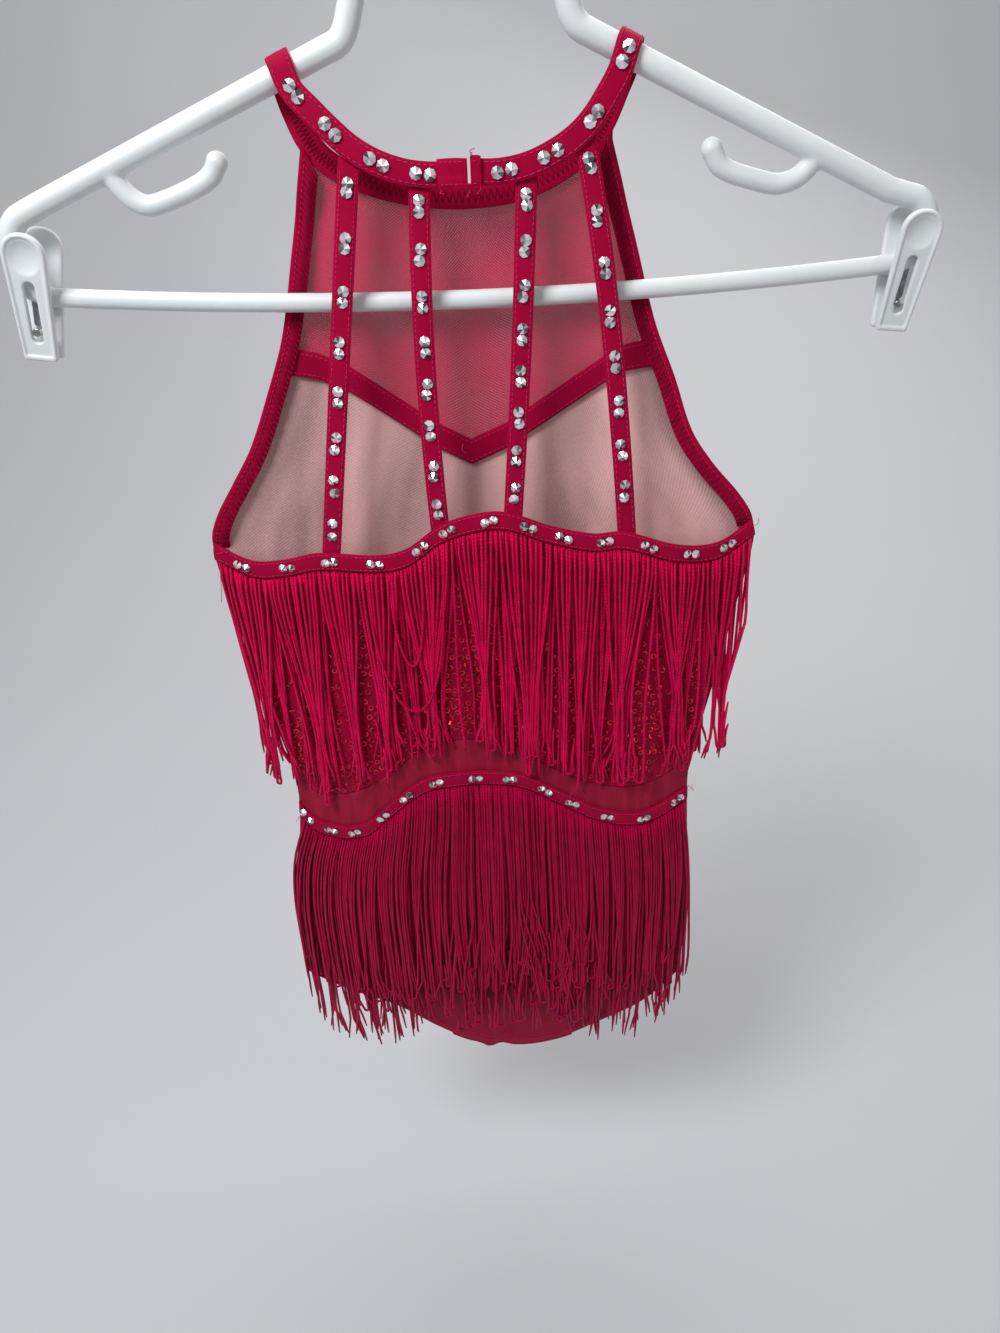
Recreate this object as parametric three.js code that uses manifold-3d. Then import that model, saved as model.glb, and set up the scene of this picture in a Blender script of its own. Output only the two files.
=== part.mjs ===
// A child's halter-neck dance unitard with two tiers of fringe, hung by its neckband on a clip hanger.
// Millimetres, +Z up. The origin is the inside top of the hanger's hook; the back of the garment faces -Y.
// Heights in the tables are measured from the level of the garment's neck, HOOK_RISE below the origin.
import * as THREE from 'three';
import Module from 'manifold-3d';

const wasm = await Module();
wasm.setup();

// ---- driving dimensions -------------------------------------------------------------------------
const HOOK_RISE = 124.5;        // inside top of the hook above the neck level
const CLOTH = 1.2;              // wall of the stretch cloth
const THIN = 1.0;               // wall of the net and of the lining
const BAND = 1.4;               // folded bands and bindings
const SEAM = 0.35;              // clearance between two pieces at a seam
const STRAP_WIDTH = 9.5;
const NECKBAND_WIDTH = 10.5;
const BAND_HEIGHT = 9.5;        // the waved bands at the back
const V_BAND_WIDTH = 11;
const BINDING_WIDTH = 8.5;
const SIDE_OFFSET = 0.85;       // middle of a panel from the side seam's plane
const TAPE_HEIGHT = 4;          // heading tape of a fringe
const TAPE = 1.8;
const STRAND = 1.3;             // strand thickness
const STRAND_PROUD = 0.9;       // strands hang this much further out than their tape
const STRANDS_PER_TIER = 106;
const ARM_RADIUS = 5.5;
const BAR_RADIUS = 4.4;
const STRAP_HOOK_RADIUS = 4.6;

// Half-widths of the garment left and right of its middle, by height: armholes, then side seams.
const SIDES = [
  { z: -600, left: 132, right: 119 }, { z: -512, left: 134, right: 121 },
  { z: -461, left: 134, right: 122 }, { z: -430, left: 131, right: 121 },
  { z: -395, left: 123, right: 118 }, { z: -355, left: 120, right: 117 },
  { z: -300, left: 129, right: 127 }, { z: -250, left: 137, right: 136 },
  { z: -209, left: 142.5, right: 142.5 }, { z: -198, left: 141, right: 139.5 },
  { z: -185, left: 135.5, right: 131 }, { z: -169, left: 125, right: 117 },
  { z: -152, left: 114, right: 105.5 }, { z: -125, left: 101.5, right: 95.5 },
  { z: -99, left: 91, right: 85 }, { z: -60, left: 81, right: 74 }, { z: -21, left: 72, right: 63 },
];
// Depth of the front from the side seam's plane: at its side edges, and how far its middle stands out.
const FRONT_DEPTH = [
  { z: -600, edge: 0, crown: 4.5 }, { z: -560, edge: 0, crown: 8 }, { z: -500, edge: 0, crown: 12 },
  { z: -420, edge: 0, crown: 14 }, { z: -355, edge: 0, crown: 12 }, { z: -300, edge: 0, crown: 13 },
  { z: -209, edge: 0, crown: 12 }, { z: -185, edge: 2.4, crown: 9.8 }, { z: -150, edge: 5.6, crown: 6.6 },
  { z: -100, edge: 8.4, crown: 2.8 }, { z: -60, edge: 9.2, crown: 1 }, { z: -15, edge: 9.4, crown: 0.2 },
];
const BACK_DEPTH = [
  { z: -600, crown: 4.5 }, { z: -560, crown: 9.5 }, { z: -520, crown: 14 }, { z: -470, crown: 17 },
  { z: -400, crown: 15 }, { z: -355, crown: 14.3 }, { z: -300, crown: 14.8 }, { z: -209, crown: 14 },
  { z: -185, crown: 13 },
];
// The largest soft folds: how far each one stands out (+) or in (-), its half-width and its two ends.
const FRONT_FOLDS = [
  { x: -98, depth: -2.2, half: 13, high: -140, low: -330 },
  { x: -66, depth: 2.4, half: 17, high: -120, low: -340 },
  { x: -38, depth: -1.8, half: 15, high: -150, low: -300 },
  { x: 30, depth: 1.6, half: 18, high: -160, low: -330 },
  { x: 72, depth: -2.4, half: 15, high: -125, low: -320 },
  { x: 104, depth: 2, half: 14, high: -170, low: -350 },
  { x: -50, depth: 2, half: 24, high: -400, low: -560 },
  { x: 48, depth: 2, half: 26, high: -390, low: -560 },
];
const BACK_FOLDS = [
  { x: -84, depth: 1.6, half: 16, high: -300, low: -400 },
  { x: -52, depth: -1.4, half: 15, high: -290, low: -390 },
  { x: 8, depth: -1.6, half: 22, high: -420, low: -580 },
  { x: 70, depth: 1.4, half: 18, high: -300, low: -400 },
];
// Top edges of the two waved bands, lower edge of the sequinned cloth, and the leg edge.
const BACK_BAND_TOP = [
  { x: -141, z: -200 }, { x: -122, z: -208.5 }, { x: -105, z: -207.5 }, { x: -86, z: -203.5 },
  { x: -55, z: -205 }, { x: -40, z: -202 }, { x: -22, z: -190 }, { x: -3, z: -184.5 },
  { x: 12, z: -184.5 }, { x: 34, z: -192.5 }, { x: 56, z: -198 }, { x: 72, z: -198 },
  { x: 100, z: -207.5 }, { x: 122, z: -208.5 }, { x: 141, z: -198 },
];
const HIP_BAND_TOP = [
  { x: -122, z: -365 }, { x: -114, z: -378 }, { x: -96, z: -383.5 }, { x: -79, z: -379.5 },
  { x: -58, z: -360.5 }, { x: -40, z: -347 }, { x: -20, z: -343 }, { x: 0, z: -343 }, { x: 18, z: -347 },
  { x: 45, z: -364 }, { x: 66, z: -376 }, { x: 90, z: -381 }, { x: 118, z: -369 },
];
const SEQUIN_EDGE = [
  { x: -121, z: -350 }, { x: -104, z: -360 }, { x: -86, z: -359 }, { x: -62, z: -345 }, { x: -38, z: -326 },
  { x: -16, z: -321 }, { x: 10, z: -325 }, { x: 34, z: -344 }, { x: 60, z: -357 }, { x: 88, z: -362 },
  { x: 118, z: -350 },
];
const LEG_EDGE = [
  { x: -134, z: -514 }, { x: -108, z: -526 }, { x: -74, z: -541 }, { x: -46, z: -566 }, { x: -24, z: -582 },
  { x: 10, z: -589 }, { x: 38, z: -583 }, { x: 66, z: -567 }, { x: 96, z: -550 }, { x: 121, z: -526 },
];
const GUSSET = { left: -38, right: 46, sag: 0.55 };
const NECKLINE = [
  { x: -74, z: -20 }, { x: -64, z: -24.5 }, { x: -52, z: -31.5 }, { x: -36, z: -37 }, { x: -18, z: -40.5 },
  { x: 0, z: -41.5 }, { x: 18, z: -40 }, { x: 34, z: -35.5 }, { x: 48, z: -28.5 }, { x: 58, z: -22 },
  { x: 65, z: -18 },
];
const V_LINE = [
  { x: -97, z: -109.5 }, { x: -77, z: -114 }, { x: -64, z: -120 }, { x: -21, z: -151.5 },
  { x: -4.5, z: -160.5 }, { x: 14, z: -152.5 }, { x: 62, z: -121.5 }, { x: 73, z: -115.5 },
  { x: 95, z: -112 },
];
const FRONT_WAIST = -372;       // seam between the front bodice and the front brief
// Fringe ends by place along the tier, and the widths that the lower tier spreads over the seat.
const UPPER_ENDS = [
  { x: -142, z: -340 }, { x: -122, z: -350 }, { x: -104, z: -354 }, { x: -84, z: -348 },
  { x: -54, z: -338 }, { x: -30, z: -320 }, { x: -5, z: -327 }, { x: 26, z: -335 }, { x: 61, z: -353 },
  { x: 89, z: -350 }, { x: 142, z: -338 },
];
const LOWER_ENDS = [
  { x: -142, z: -512 }, { x: -131, z: -545 }, { x: -118, z: -564 }, { x: -87, z: -563 },
  { x: -59, z: -548 }, { x: -22, z: -562 }, { x: 16, z: -569 }, { x: 44, z: -562 }, { x: 99, z: -564 },
  { x: 125, z: -540 },
];
const SEAT_SPREAD = [
  { z: -600, left: 140, right: 124 }, { z: -461, left: 140, right: 124 },
  { z: -435, left: 138, right: 123 }, { z: -411, left: 134, right: 121 },
  { z: -390, left: 127, right: 118.5 }, { z: -365, left: 121, right: 117 },
];
const SEAT_FULLEST = -470;      // below this the lower fringe hangs plumb
const UPPER_FULLEST = -300;
const STRAND_INTO_TAPE = 1.2;   // how far a strand's root reaches into its tape
const STRAND_LAYER = 0.9;       // every second strand lies this much further out
const TIP_SCATTER = { high: -5, range: 9 };
const LEANS = [{ reach: 3.4, wave: 15, start: 1.3 }, { reach: 1.5, wave: 7.3, start: 0 }];
// Middle lines of the four back straps: top end and bottom end places, with one point between.
const STRAPS = [
  { top: { x: -51, z: -27.5 }, middle: { x: -62, z: -97 }, bottom: -79.5 },
  { top: { x: -21, z: -33 }, middle: { x: -23.8, z: -110 }, bottom: -22 },
  { top: { x: 25.5, z: -33 }, middle: { x: 21.5, z: -105 }, bottom: 15 },
  { top: { x: 51, z: -22 }, middle: { x: 63, z: -96 }, bottom: 73.5 },
];
const STRAP_TOP_Y = -7.8;
const STRAP_CLEAR = 0.9;        // from a strap's lower end to the edge of the back bodice
const STRAP_SLACK = 1.2;        // how far a strap's middle hangs out towards the viewer
// The neckband's middle line, from the left end of the closure over both arms to its right end.
// Rows over an arm give the angle round it; "arm" is how far the strip's width has turned along the arm.
const NECKBAND_BACK_Y = -9.75;
const NECKBAND_FRONT_Y = 6.6;
const NECKBAND = [
  { x: -1.4, z: -30.8, y: NECKBAND_BACK_Y }, { x: -15, z: -31.2, y: NECKBAND_BACK_Y },
  { x: -27, z: -29.6, y: NECKBAND_BACK_Y }, { x: -39, z: -25.5, y: NECKBAND_BACK_Y },
  { x: -49, z: -19.6, y: NECKBAND_BACK_Y }, { x: -57, z: -12.6, y: -9.3 }, { x: -65, z: -4.6, y: -8.4 },
  { x: -72, z: 3, y: -7.4, arm: 0.6 }, { x: -75.6, overArm: -60 }, { x: -77, overArm: -25 },
  { x: -77.6, overArm: 10 }, { x: -77.6, overArm: 50 }, { x: -76.6, z: 3, y: 6.9, arm: 0.8 },
  { x: -73.6, z: -7, y: NECKBAND_FRONT_Y, arm: 0.3 }, { x: -69.4, z: -17, y: NECKBAND_FRONT_Y },
  { x: -62.5, z: -25, y: NECKBAND_FRONT_Y }, { x: -52, z: -31.3, y: NECKBAND_FRONT_Y },
  { x: -36, z: -37, y: NECKBAND_FRONT_Y }, { x: -18, z: -40.5, y: NECKBAND_FRONT_Y },
  { x: 0, z: -41.5, y: NECKBAND_FRONT_Y }, { x: 18, z: -40, y: NECKBAND_FRONT_Y },
  { x: 34, z: -35.5, y: NECKBAND_FRONT_Y }, { x: 47, z: -28.5, y: NECKBAND_FRONT_Y },
  { x: 55.5, z: -21.5, y: NECKBAND_FRONT_Y }, { x: 61, z: -13, y: NECKBAND_FRONT_Y },
  { x: 66, z: -2, y: NECKBAND_FRONT_Y, arm: 0.3 }, { x: 69.8, z: 6.5, y: 6.9, arm: 0.8 },
  { x: 71.4, overArm: 50 }, { x: 71.4, overArm: 10 }, { x: 70.6, overArm: -25 }, { x: 69, overArm: -60 },
  { x: 65.4, z: 5, y: -7.4, arm: 0.6 }, { x: 60, z: -3.8, y: -8.4 }, { x: 54.3, z: -11.6, y: -9.3 },
  { x: 47.4, z: -18.2, y: NECKBAND_BACK_Y }, { x: 38, z: -24, y: NECKBAND_BACK_Y },
  { x: 26, z: -28.8, y: NECKBAND_BACK_Y }, { x: 14, z: -30.8, y: NECKBAND_BACK_Y },
  { x: 2.4, z: -30.6, y: NECKBAND_BACK_Y },
];
// The hanger: its frame goes round from the left of the neck arch to the right of it.
const ARM_LEFT = { inner: { x: -59, z: 15.5 }, outer: { x: -196, z: -40 } };
const ARM_RIGHT = { inner: { x: 55, z: 18 }, outer: { x: 196, z: -49 } };
const BAR_ENDS_Z = -76;
const BAR_MIDDLE_Z = -84.5;
const NECK_ARCH = [
  { x: -58, z: 16 }, { x: -51, z: 19 }, { x: -48, z: 23 }, { x: -44.5, z: 33 }, { x: -39, z: 48 },
  { x: -28, z: 60 }, { x: -12, z: 67 }, { x: 0, z: 69 }, { x: 12, z: 67 }, { x: 27, z: 60 },
  { x: 38, z: 48 }, { x: 43, z: 35 }, { x: 45.5, z: 26 }, { x: 48.5, z: 21.5 }, { x: 54, z: 18.5 },
];
const HOOK = { radius: 21, wire: 4.5, middle: 108, sweep: 290, post: 68 };
const STRAP_HOOKS = [
  [{ x: -157, z: -25.5 }, { x: -150, z: -35.5 }, { x: -143, z: -39.5 }, { x: -134, z: -38 }, { x: -112, z: -28.8 },
    { x: -106, z: -23.5 }],
  [{ x: 154, z: -30 }, { x: 147, z: -38 }, { x: 138, z: -41 }, { x: 128, z: -39 }, { x: 111, z: -32.6 },
    { x: 104.5, z: -25.5 }],
];
const JAW = {
  height: 57, top: 20, bottom: 15, thick: 3.6, openTop: 10.2, openBottom: 1.6, slot: 5.2, slotLength: 27,
};
const PIN = { radius: 2, length: 13, fromBottom: 13.5 };
const CLIPS = [
  { side: 'left', x: -201, z: -75.5, lean: 8, scale: 1 },
  { side: 'right', x: 199.5, z: -79, lean: 6, scale: 0.94 },
];

// ---- finishes ------------------------------------------------------------------------------------
const finish = (color, roughness, metalness = 0) => (
  new THREE.MeshStandardMaterial({ color, roughness, metalness })
);
const RED = finish(0xa5103a, 0.62);
const RED_NET = finish(0xb5304f, 0.7);
const SEQUINNED = finish(0x8f1234, 0.45);
const FRINGE = finish(0xb00f3c, 0.5);
const LINING = finish(0xc9a9a0, 0.75);
const WHITE_PLASTIC = finish(0xeceae8, 0.35);
const STEEL = finish(0x9a9a98, 0.3, 1);

// ---- small helpers -------------------------------------------------------------------------------
const mix = (a, b, t) => a + (b - a) * t;
const radians = THREE.MathUtils.degToRad;

/** Value of a table's column at a place, on straight lines between its rows. */
function straight(rows, key, column, at) {
  const next = rows.findIndex((row) => row[key] >= at);
  if (next === 0) return rows[0][column];
  if (next < 0) return rows[rows.length - 1][column];
  const [a, b] = [rows[next - 1], rows[next]];
  return mix(a[column], b[column], (at - a[key]) / (b[key] - a[key]));
}

/** The same on a smooth curve through the rows. */
function smooth(rows, key, column, at) {
  const next = rows.findIndex((row) => row[key] >= at);
  if (next === 0) return rows[0][column];
  if (next < 0) return rows[rows.length - 1][column];
  const [a, b] = [rows[next - 1], rows[next]];
  const slope = (i) => {
    const [low, high] = [rows[Math.max(i - 1, 0)], rows[Math.min(i + 1, rows.length - 1)]];
    return (high[column] - low[column]) / (high[key] - low[key]);
  };
  const span = b[key] - a[key];
  const t = (at - a[key]) / span;
  const [t2, t3] = [t * t, t * t * t];
  return (2 * t3 - 3 * t2 + 1) * a[column] + (t3 - 2 * t2 + t) * span * slope(next - 1)
    + (3 * t2 - 2 * t3) * b[column] + (t3 - t2) * span * slope(next);
}

/** A repeatable number from 0 to 1 for strand i. */
const scatter = (i, salt) => {
  const value = Math.sin(i * 12.9898 + salt * 78.233) * 43758.5453;
  return value - Math.floor(value);
};

/** Closed geometry from points and triangles, with its faces turned outwards. */
function closedGeometry(points, triangles) {
  let volume = 0;
  const corner = [new THREE.Vector3(), new THREE.Vector3(), new THREE.Vector3()];
  for (const triangle of triangles) {
    triangle.forEach((index, k) => corner[k].set(...points[index]));
    volume += corner[0].dot(corner[1].clone().cross(corner[2]));
  }
  const faces = volume < 0 ? triangles.map(([a, b, c]) => [a, c, b]) : triangles;
  const geometry = new THREE.BufferGeometry();
  geometry.setAttribute('position', new THREE.Float32BufferAttribute(points.flat(), 3));
  geometry.setIndex(faces.flat());
  geometry.computeVertexNormals();
  return geometry;
}

/** A solid through a row of rings with equal counts of points; both ends are closed. */
function loft(rings) {
  const count = rings[0].length;
  const triangles = [];
  for (let r = 0; r + 1 < rings.length; r += 1) {
    for (let k = 0; k < count; k += 1) {
      const [a, b] = [r * count + k, r * count + ((k + 1) % count)];
      triangles.push([a, b, b + count], [a, b + count, a + count]);
    }
  }
  const last = (rings.length - 1) * count;
  for (let k = 1; k + 1 < count; k += 1) {
    triangles.push([0, k + 1, k], [last, last + k, last + k + 1]);
  }
  return closedGeometry(rings.flat(), triangles);
}

/** A wall over a grid: place(s, t, side) gives the point at s, t from 0 to 1 on side -1 or +1. */
function gridWall(columns, rows, place) {
  const points = [];
  for (const side of [-1, 1]) {
    for (let r = 0; r <= rows; r += 1) {
      for (let c = 0; c <= columns; c += 1) points.push(place(c / columns, r / rows, side));
    }
  }
  const index = (c, r, face) => face * (columns + 1) * (rows + 1) + r * (columns + 1) + c;
  const triangles = [];
  const quad = (a, b, c, d) => triangles.push([a, b, c], [a, c, d]);
  for (let r = 0; r < rows; r += 1) {
    for (let c = 0; c < columns; c += 1) {
      quad(index(c, r, 0), index(c + 1, r, 0), index(c + 1, r + 1, 0), index(c, r + 1, 0));
      quad(index(c, r, 1), index(c, r + 1, 1), index(c + 1, r + 1, 1), index(c + 1, r, 1));
    }
  }
  for (let c = 0; c < columns; c += 1) {
    quad(index(c, 0, 0), index(c, 0, 1), index(c + 1, 0, 1), index(c + 1, 0, 0));
    quad(index(c, rows, 0), index(c + 1, rows, 0), index(c + 1, rows, 1), index(c, rows, 1));
  }
  for (let r = 0; r < rows; r += 1) {
    quad(index(0, r, 0), index(0, r + 1, 0), index(0, r + 1, 1), index(0, r, 1));
    quad(index(columns, r, 0), index(columns, r, 1), index(columns, r + 1, 1), index(columns, r + 1, 0));
  }
  return closedGeometry(points, triangles);
}

/** A round rod along points that lie in the plane y = 0. */
function rod(points, radius, sides = 8) {
  const rings = points.map((point, i) => {
    const before = points[Math.max(i - 1, 0)];
    const after = points[Math.min(i + 1, points.length - 1)];
    const across = new THREE.Vector2(after.z - before.z, before.x - after.x).normalize();
    return Array.from({ length: sides }, (_, k) => {
      const turn = ((k + 0.5) / sides) * Math.PI * 2;
      const out = (radius / Math.cos(Math.PI / sides)) * Math.cos(turn);
      return [point.x + across.x * out, radius * Math.sin(turn), point.z + across.y * out];
    });
  });
  return loft(rings);
}

/** One solid of several that touch or cross. */
function joined(geometries) {
  const solids = geometries.map((geometry) => {
    const { position } = geometry.attributes;
    return new wasm.Manifold(new wasm.Mesh({
      numProp: 3, vertProperties: new Float32Array(position.array),
      triVerts: new Uint32Array(geometry.index.array),
    }));
  });
  const mesh = wasm.Manifold.union(solids).getMesh();
  const geometry = new THREE.BufferGeometry();
  geometry.setAttribute('position', new THREE.BufferAttribute(mesh.vertProperties, 3));
  geometry.setIndex(new THREE.BufferAttribute(mesh.triVerts, 1));
  geometry.computeVertexNormals();
  return geometry;
}

const garment = new THREE.Group();
garment.position.z = -HOOK_RISE;
const hanger = new THREE.Group();
hanger.position.z = -HOOK_RISE;

function add(group, name, geometry, material) {
  const mesh = new THREE.Mesh(geometry, material);
  mesh.name = name;
  group.add(mesh);
  return mesh;
}

// ---- the garment's surfaces ----------------------------------------------------------------------
const widthLeft = (z) => smooth(SIDES, 'z', 'left', z);
const widthRight = (z) => smooth(SIDES, 'z', 'right', z);

function foldHeight(folds, x, z) {
  return folds.reduce((sum, fold) => {
    const middle = (fold.high + fold.low) / 2;
    const along = (z - middle) / ((fold.high - fold.low) / 2);
    const across = (x - fold.x) / fold.half;
    const fade = Math.abs(along) < 1 ? (1 - along * along) ** 2 : 0;
    return sum + fold.depth * Math.exp(-across * across) * fade;
  }, 0);
}

/** How full the flattened body is at x: 1 in the middle, 0 at the side edges. */
function fullness(x, z) {
  const share = Math.min(1, Math.abs(x) / (x < 0 ? widthLeft(z) : widthRight(z)));
  return 1 - share ** 3;
}

/** Middle of the front wall, moved out of the garment by "out". */
function frontY(x, z, out = 0) {
  const full = fullness(x, z);
  const depth = smooth(FRONT_DEPTH, 'z', 'edge', z) + smooth(FRONT_DEPTH, 'z', 'crown', z) * full;
  return SIDE_OFFSET + depth + foldHeight(FRONT_FOLDS, x, z) * full + out;
}

/** Middle of the back wall, moved out of the garment by "out". */
function backY(x, z, out = 0) {
  const full = fullness(x, z);
  return -SIDE_OFFSET - (smooth(BACK_DEPTH, 'z', 'crown', z) + foldHeight(BACK_FOLDS, x, z)) * full - out;
}

/** Point where the curve edge(x) meets the left (-1) or right (+1) side of the garment. */
function cornerHeight(edge, side) {
  let z = edge(side * 100);
  for (let step = 0; step < 12; step += 1) z = edge(side * (side < 0 ? widthLeft(z) : widthRight(z)));
  return z;
}

/** A panel between two edges, from side seam to side seam; share is how much of its height is made. */
function panel({ surface, top, bottom, columns, rows, wall, out = 0, sideIn = SEAM, share = 1 }) {
  const corners = [-1, 1].map((side) => [cornerHeight(top, side), cornerHeight(bottom, side)]);
  return gridWall(columns, rows, (s, down, side) => {
    const t = down * share;
    const at = (row) => mix(
      sideIn - widthLeft(mix(...corners[0], row)), widthRight(mix(...corners[1], row)) - sideIn, s,
    );
    const z = mix(top(at(0)), bottom(at(1)), t);
    return [at(t), surface(at(t), z, out + (side * wall) / 2), z];
  });
}

const backBandTop = (x) => smooth(BACK_BAND_TOP, 'x', 'z', x);
const hipBandTop = (x) => smooth(HIP_BAND_TOP, 'x', 'z', x);
const sequinEdge = (x) => smooth(SEQUIN_EDGE, 'x', 'z', x);
const legEdge = (x) => smooth(LEG_EDGE, 'x', 'z', x);
const neckline = (x) => smooth(NECKLINE, 'x', 'z', x);
const vLine = (x) => straight(V_LINE, 'x', 'z', x);
const lowered = (edge, by) => (x) => edge(x) - by;
const level = (z) => () => z;

const OVER_CLOTH = CLOTH / 2 + SEAM + BAND / 2;           // a band's middle over a panel's middle
const LINING_IN = -(CLOTH / 2 + 2 * SEAM + THIN / 2);     // the lining's layer inside the front
const BAND_IN = LINING_IN - THIN / 2 - 2 * SEAM - BAND / 2;   // bands inside the lining
const TUCK = 5;                                           // how far a panel reaches under its band

// ---- back panels and bands -----------------------------------------------------------------------
const BACK_COLUMNS = 24;
const BAND_COLUMNS = 40;
add(garment, 'back_bodice', panel({
  surface: backY, top: lowered(backBandTop, TUCK), bottom: lowered(sequinEdge, -SEAM / 2),
  columns: BACK_COLUMNS, rows: 5, wall: CLOTH,
}), SEQUINNED);
add(garment, 'back_waist', panel({
  surface: backY, top: lowered(sequinEdge, SEAM / 2), bottom: lowered(hipBandTop, TUCK - SEAM / 2),
  columns: BACK_COLUMNS, rows: 1, wall: CLOTH,
}), RED_NET);
add(garment, 'back_brief', panel({
  surface: backY, top: lowered(hipBandTop, TUCK + SEAM / 2), bottom: legEdge,
  columns: BACK_COLUMNS, rows: 6, wall: CLOTH,
}), RED);
for (const [name, top] of [['back_band', backBandTop], ['hip_band', hipBandTop]]) {
  add(garment, name, panel({
    surface: backY, top, bottom: lowered(top, BAND_HEIGHT), columns: BAND_COLUMNS, rows: 1, wall: BAND,
    out: OVER_CLOTH,
  }), RED);
}

// ---- front panels --------------------------------------------------------------------------------
const FRONT_COLUMNS = 22;
const BODICE_ROWS = 9;
const LINING_ROWS = 5;          // the lining ends this many rows down the bodice
const vGap = SEAM / 2 / Math.cos(Math.atan2(40, 60));
add(garment, 'front_yoke', panel({
  surface: frontY, top: neckline, bottom: lowered(vLine, -vGap), columns: FRONT_COLUMNS, rows: 3, wall: THIN,
  out: LINING_IN,
}), RED_NET);
add(garment, 'front_bodice', panel({
  surface: frontY, top: lowered(vLine, vGap), bottom: level(FRONT_WAIST + SEAM / 2), columns: FRONT_COLUMNS,
  rows: BODICE_ROWS, wall: CLOTH,
}), RED);
add(garment, 'front_lining', panel({
  surface: frontY, top: lowered(vLine, vGap), bottom: level(FRONT_WAIST + SEAM / 2), columns: FRONT_COLUMNS,
  rows: LINING_ROWS, wall: THIN, out: LINING_IN, sideIn: 3.5, share: LINING_ROWS / BODICE_ROWS,
}), LINING);
add(garment, 'front_brief', panel({
  surface: frontY, top: level(FRONT_WAIST - SEAM / 2), bottom: legEdge, columns: FRONT_COLUMNS, rows: 6,
  wall: CLOTH,
}), RED);

const V_BAND_PLACES = 24;
const V_TIP = V_LINE[4].x;

/** The V-shaped band inside the yoke's seam; its ends stop at the armhole bindings. */
function vBand() {
  const half = V_BAND_WIDTH / 2 / Math.cos(Math.atan2(32, 48));
  const [left, right] = [-1, 1].map((side) => {
    const z = cornerHeight(vLine, side);
    return side * ((side < 0 ? widthLeft(z) : widthRight(z)) - BINDING_WIDTH - SEAM - 1.5);
  });
  const places = Array.from({ length: V_BAND_PLACES }, (_, i) => mix(left, right, i / (V_BAND_PLACES - 1)));
  places[places.findIndex((x) => x > V_TIP)] = V_TIP;
  return loft(places.map((x) => {
    const z = vLine(x);
    return [[1, -1], [1, 1], [-1, 1], [-1, -1]].map(([high, face]) => {
      const height = z + high * half;
      return [x, frontY(x, height, BAND_IN + (face * BAND) / 2), height];
    });
  }));
}
add(garment, 'front_v_band', vBand(), RED);

const BINDING = { high: -37.5, low: -196, steps: 22, out: -1 };

/** An elastic binding inside one cut-in side of the front, from the neckband to the underarm. */
function armholeBinding(side) {
  const width = side < 0 ? widthLeft : widthRight;
  return loft(Array.from({ length: BINDING.steps + 1 }, (_, i) => {
    const z = mix(BINDING.high, BINDING.low, i / BINDING.steps);
    const run = new THREE.Vector2(width(z - 2) - width(z + 2), -4).normalize();
    return [[0, -1], [0, 1], [1, 1], [1, -1]].map(([inner, face]) => {
      const reach = inner * BINDING_WIDTH + BINDING.out;
      const [x, height] = [side * (width(z) + run.y * reach), z - run.x * reach];
      const held = side * Math.min(Math.abs(x), width(height) - 0.01);
      return [x, frontY(held, height, BAND_IN + (face * BAND) / 2), height];
    });
  }));
}
add(garment, 'armhole_binding_left', armholeBinding(-1), RED);
add(garment, 'armhole_binding_right', armholeBinding(1), RED);

// ---- gusset: closes the bottom between the leg openings -------------------------------------------
add(garment, 'gusset', gridWall(8, 6, (s, t, side) => {
  const x = mix(GUSSET.left, GUSSET.right, s);
  const z = legEdge(x) - SEAM;
  const [near, far] = [backY(x, z), frontY(x, z)];
  const [middle, reach] = [(near + far) / 2, (far - near) / 2 + (side * CLOTH) / 2];
  const turn = Math.PI * t;
  return [x, middle - reach * Math.cos(turn), z - reach * GUSSET.sag * Math.sin(turn)];
}), RED);

// ---- neckband, closure and straps ----------------------------------------------------------------
const armSlope = (arm) => (arm.outer.z - arm.inner.z) / (arm.outer.x - arm.inner.x);
const armHeight = (x) => {
  const arm = x < 0 ? ARM_LEFT : ARM_RIGHT;
  return arm.inner.z + (x - arm.inner.x) * armSlope(arm);
};
const ROUND_ARM = ARM_RADIUS + 0.8 + BAND / 2;

/** Middle of the neckband at a row of its table. */
function neckbandPoint(row) {
  if (row.overArm === undefined) return new THREE.Vector3(row.x, row.y, row.z);
  const turn = radians(row.overArm);
  const steep = Math.cos(Math.atan(armSlope(row.x < 0 ? ARM_LEFT : ARM_RIGHT)));
  return new THREE.Vector3(
    row.x, ROUND_ARM * Math.sin(turn), armHeight(row.x) + (ROUND_ARM * Math.cos(turn)) / steep,
  );
}

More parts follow.
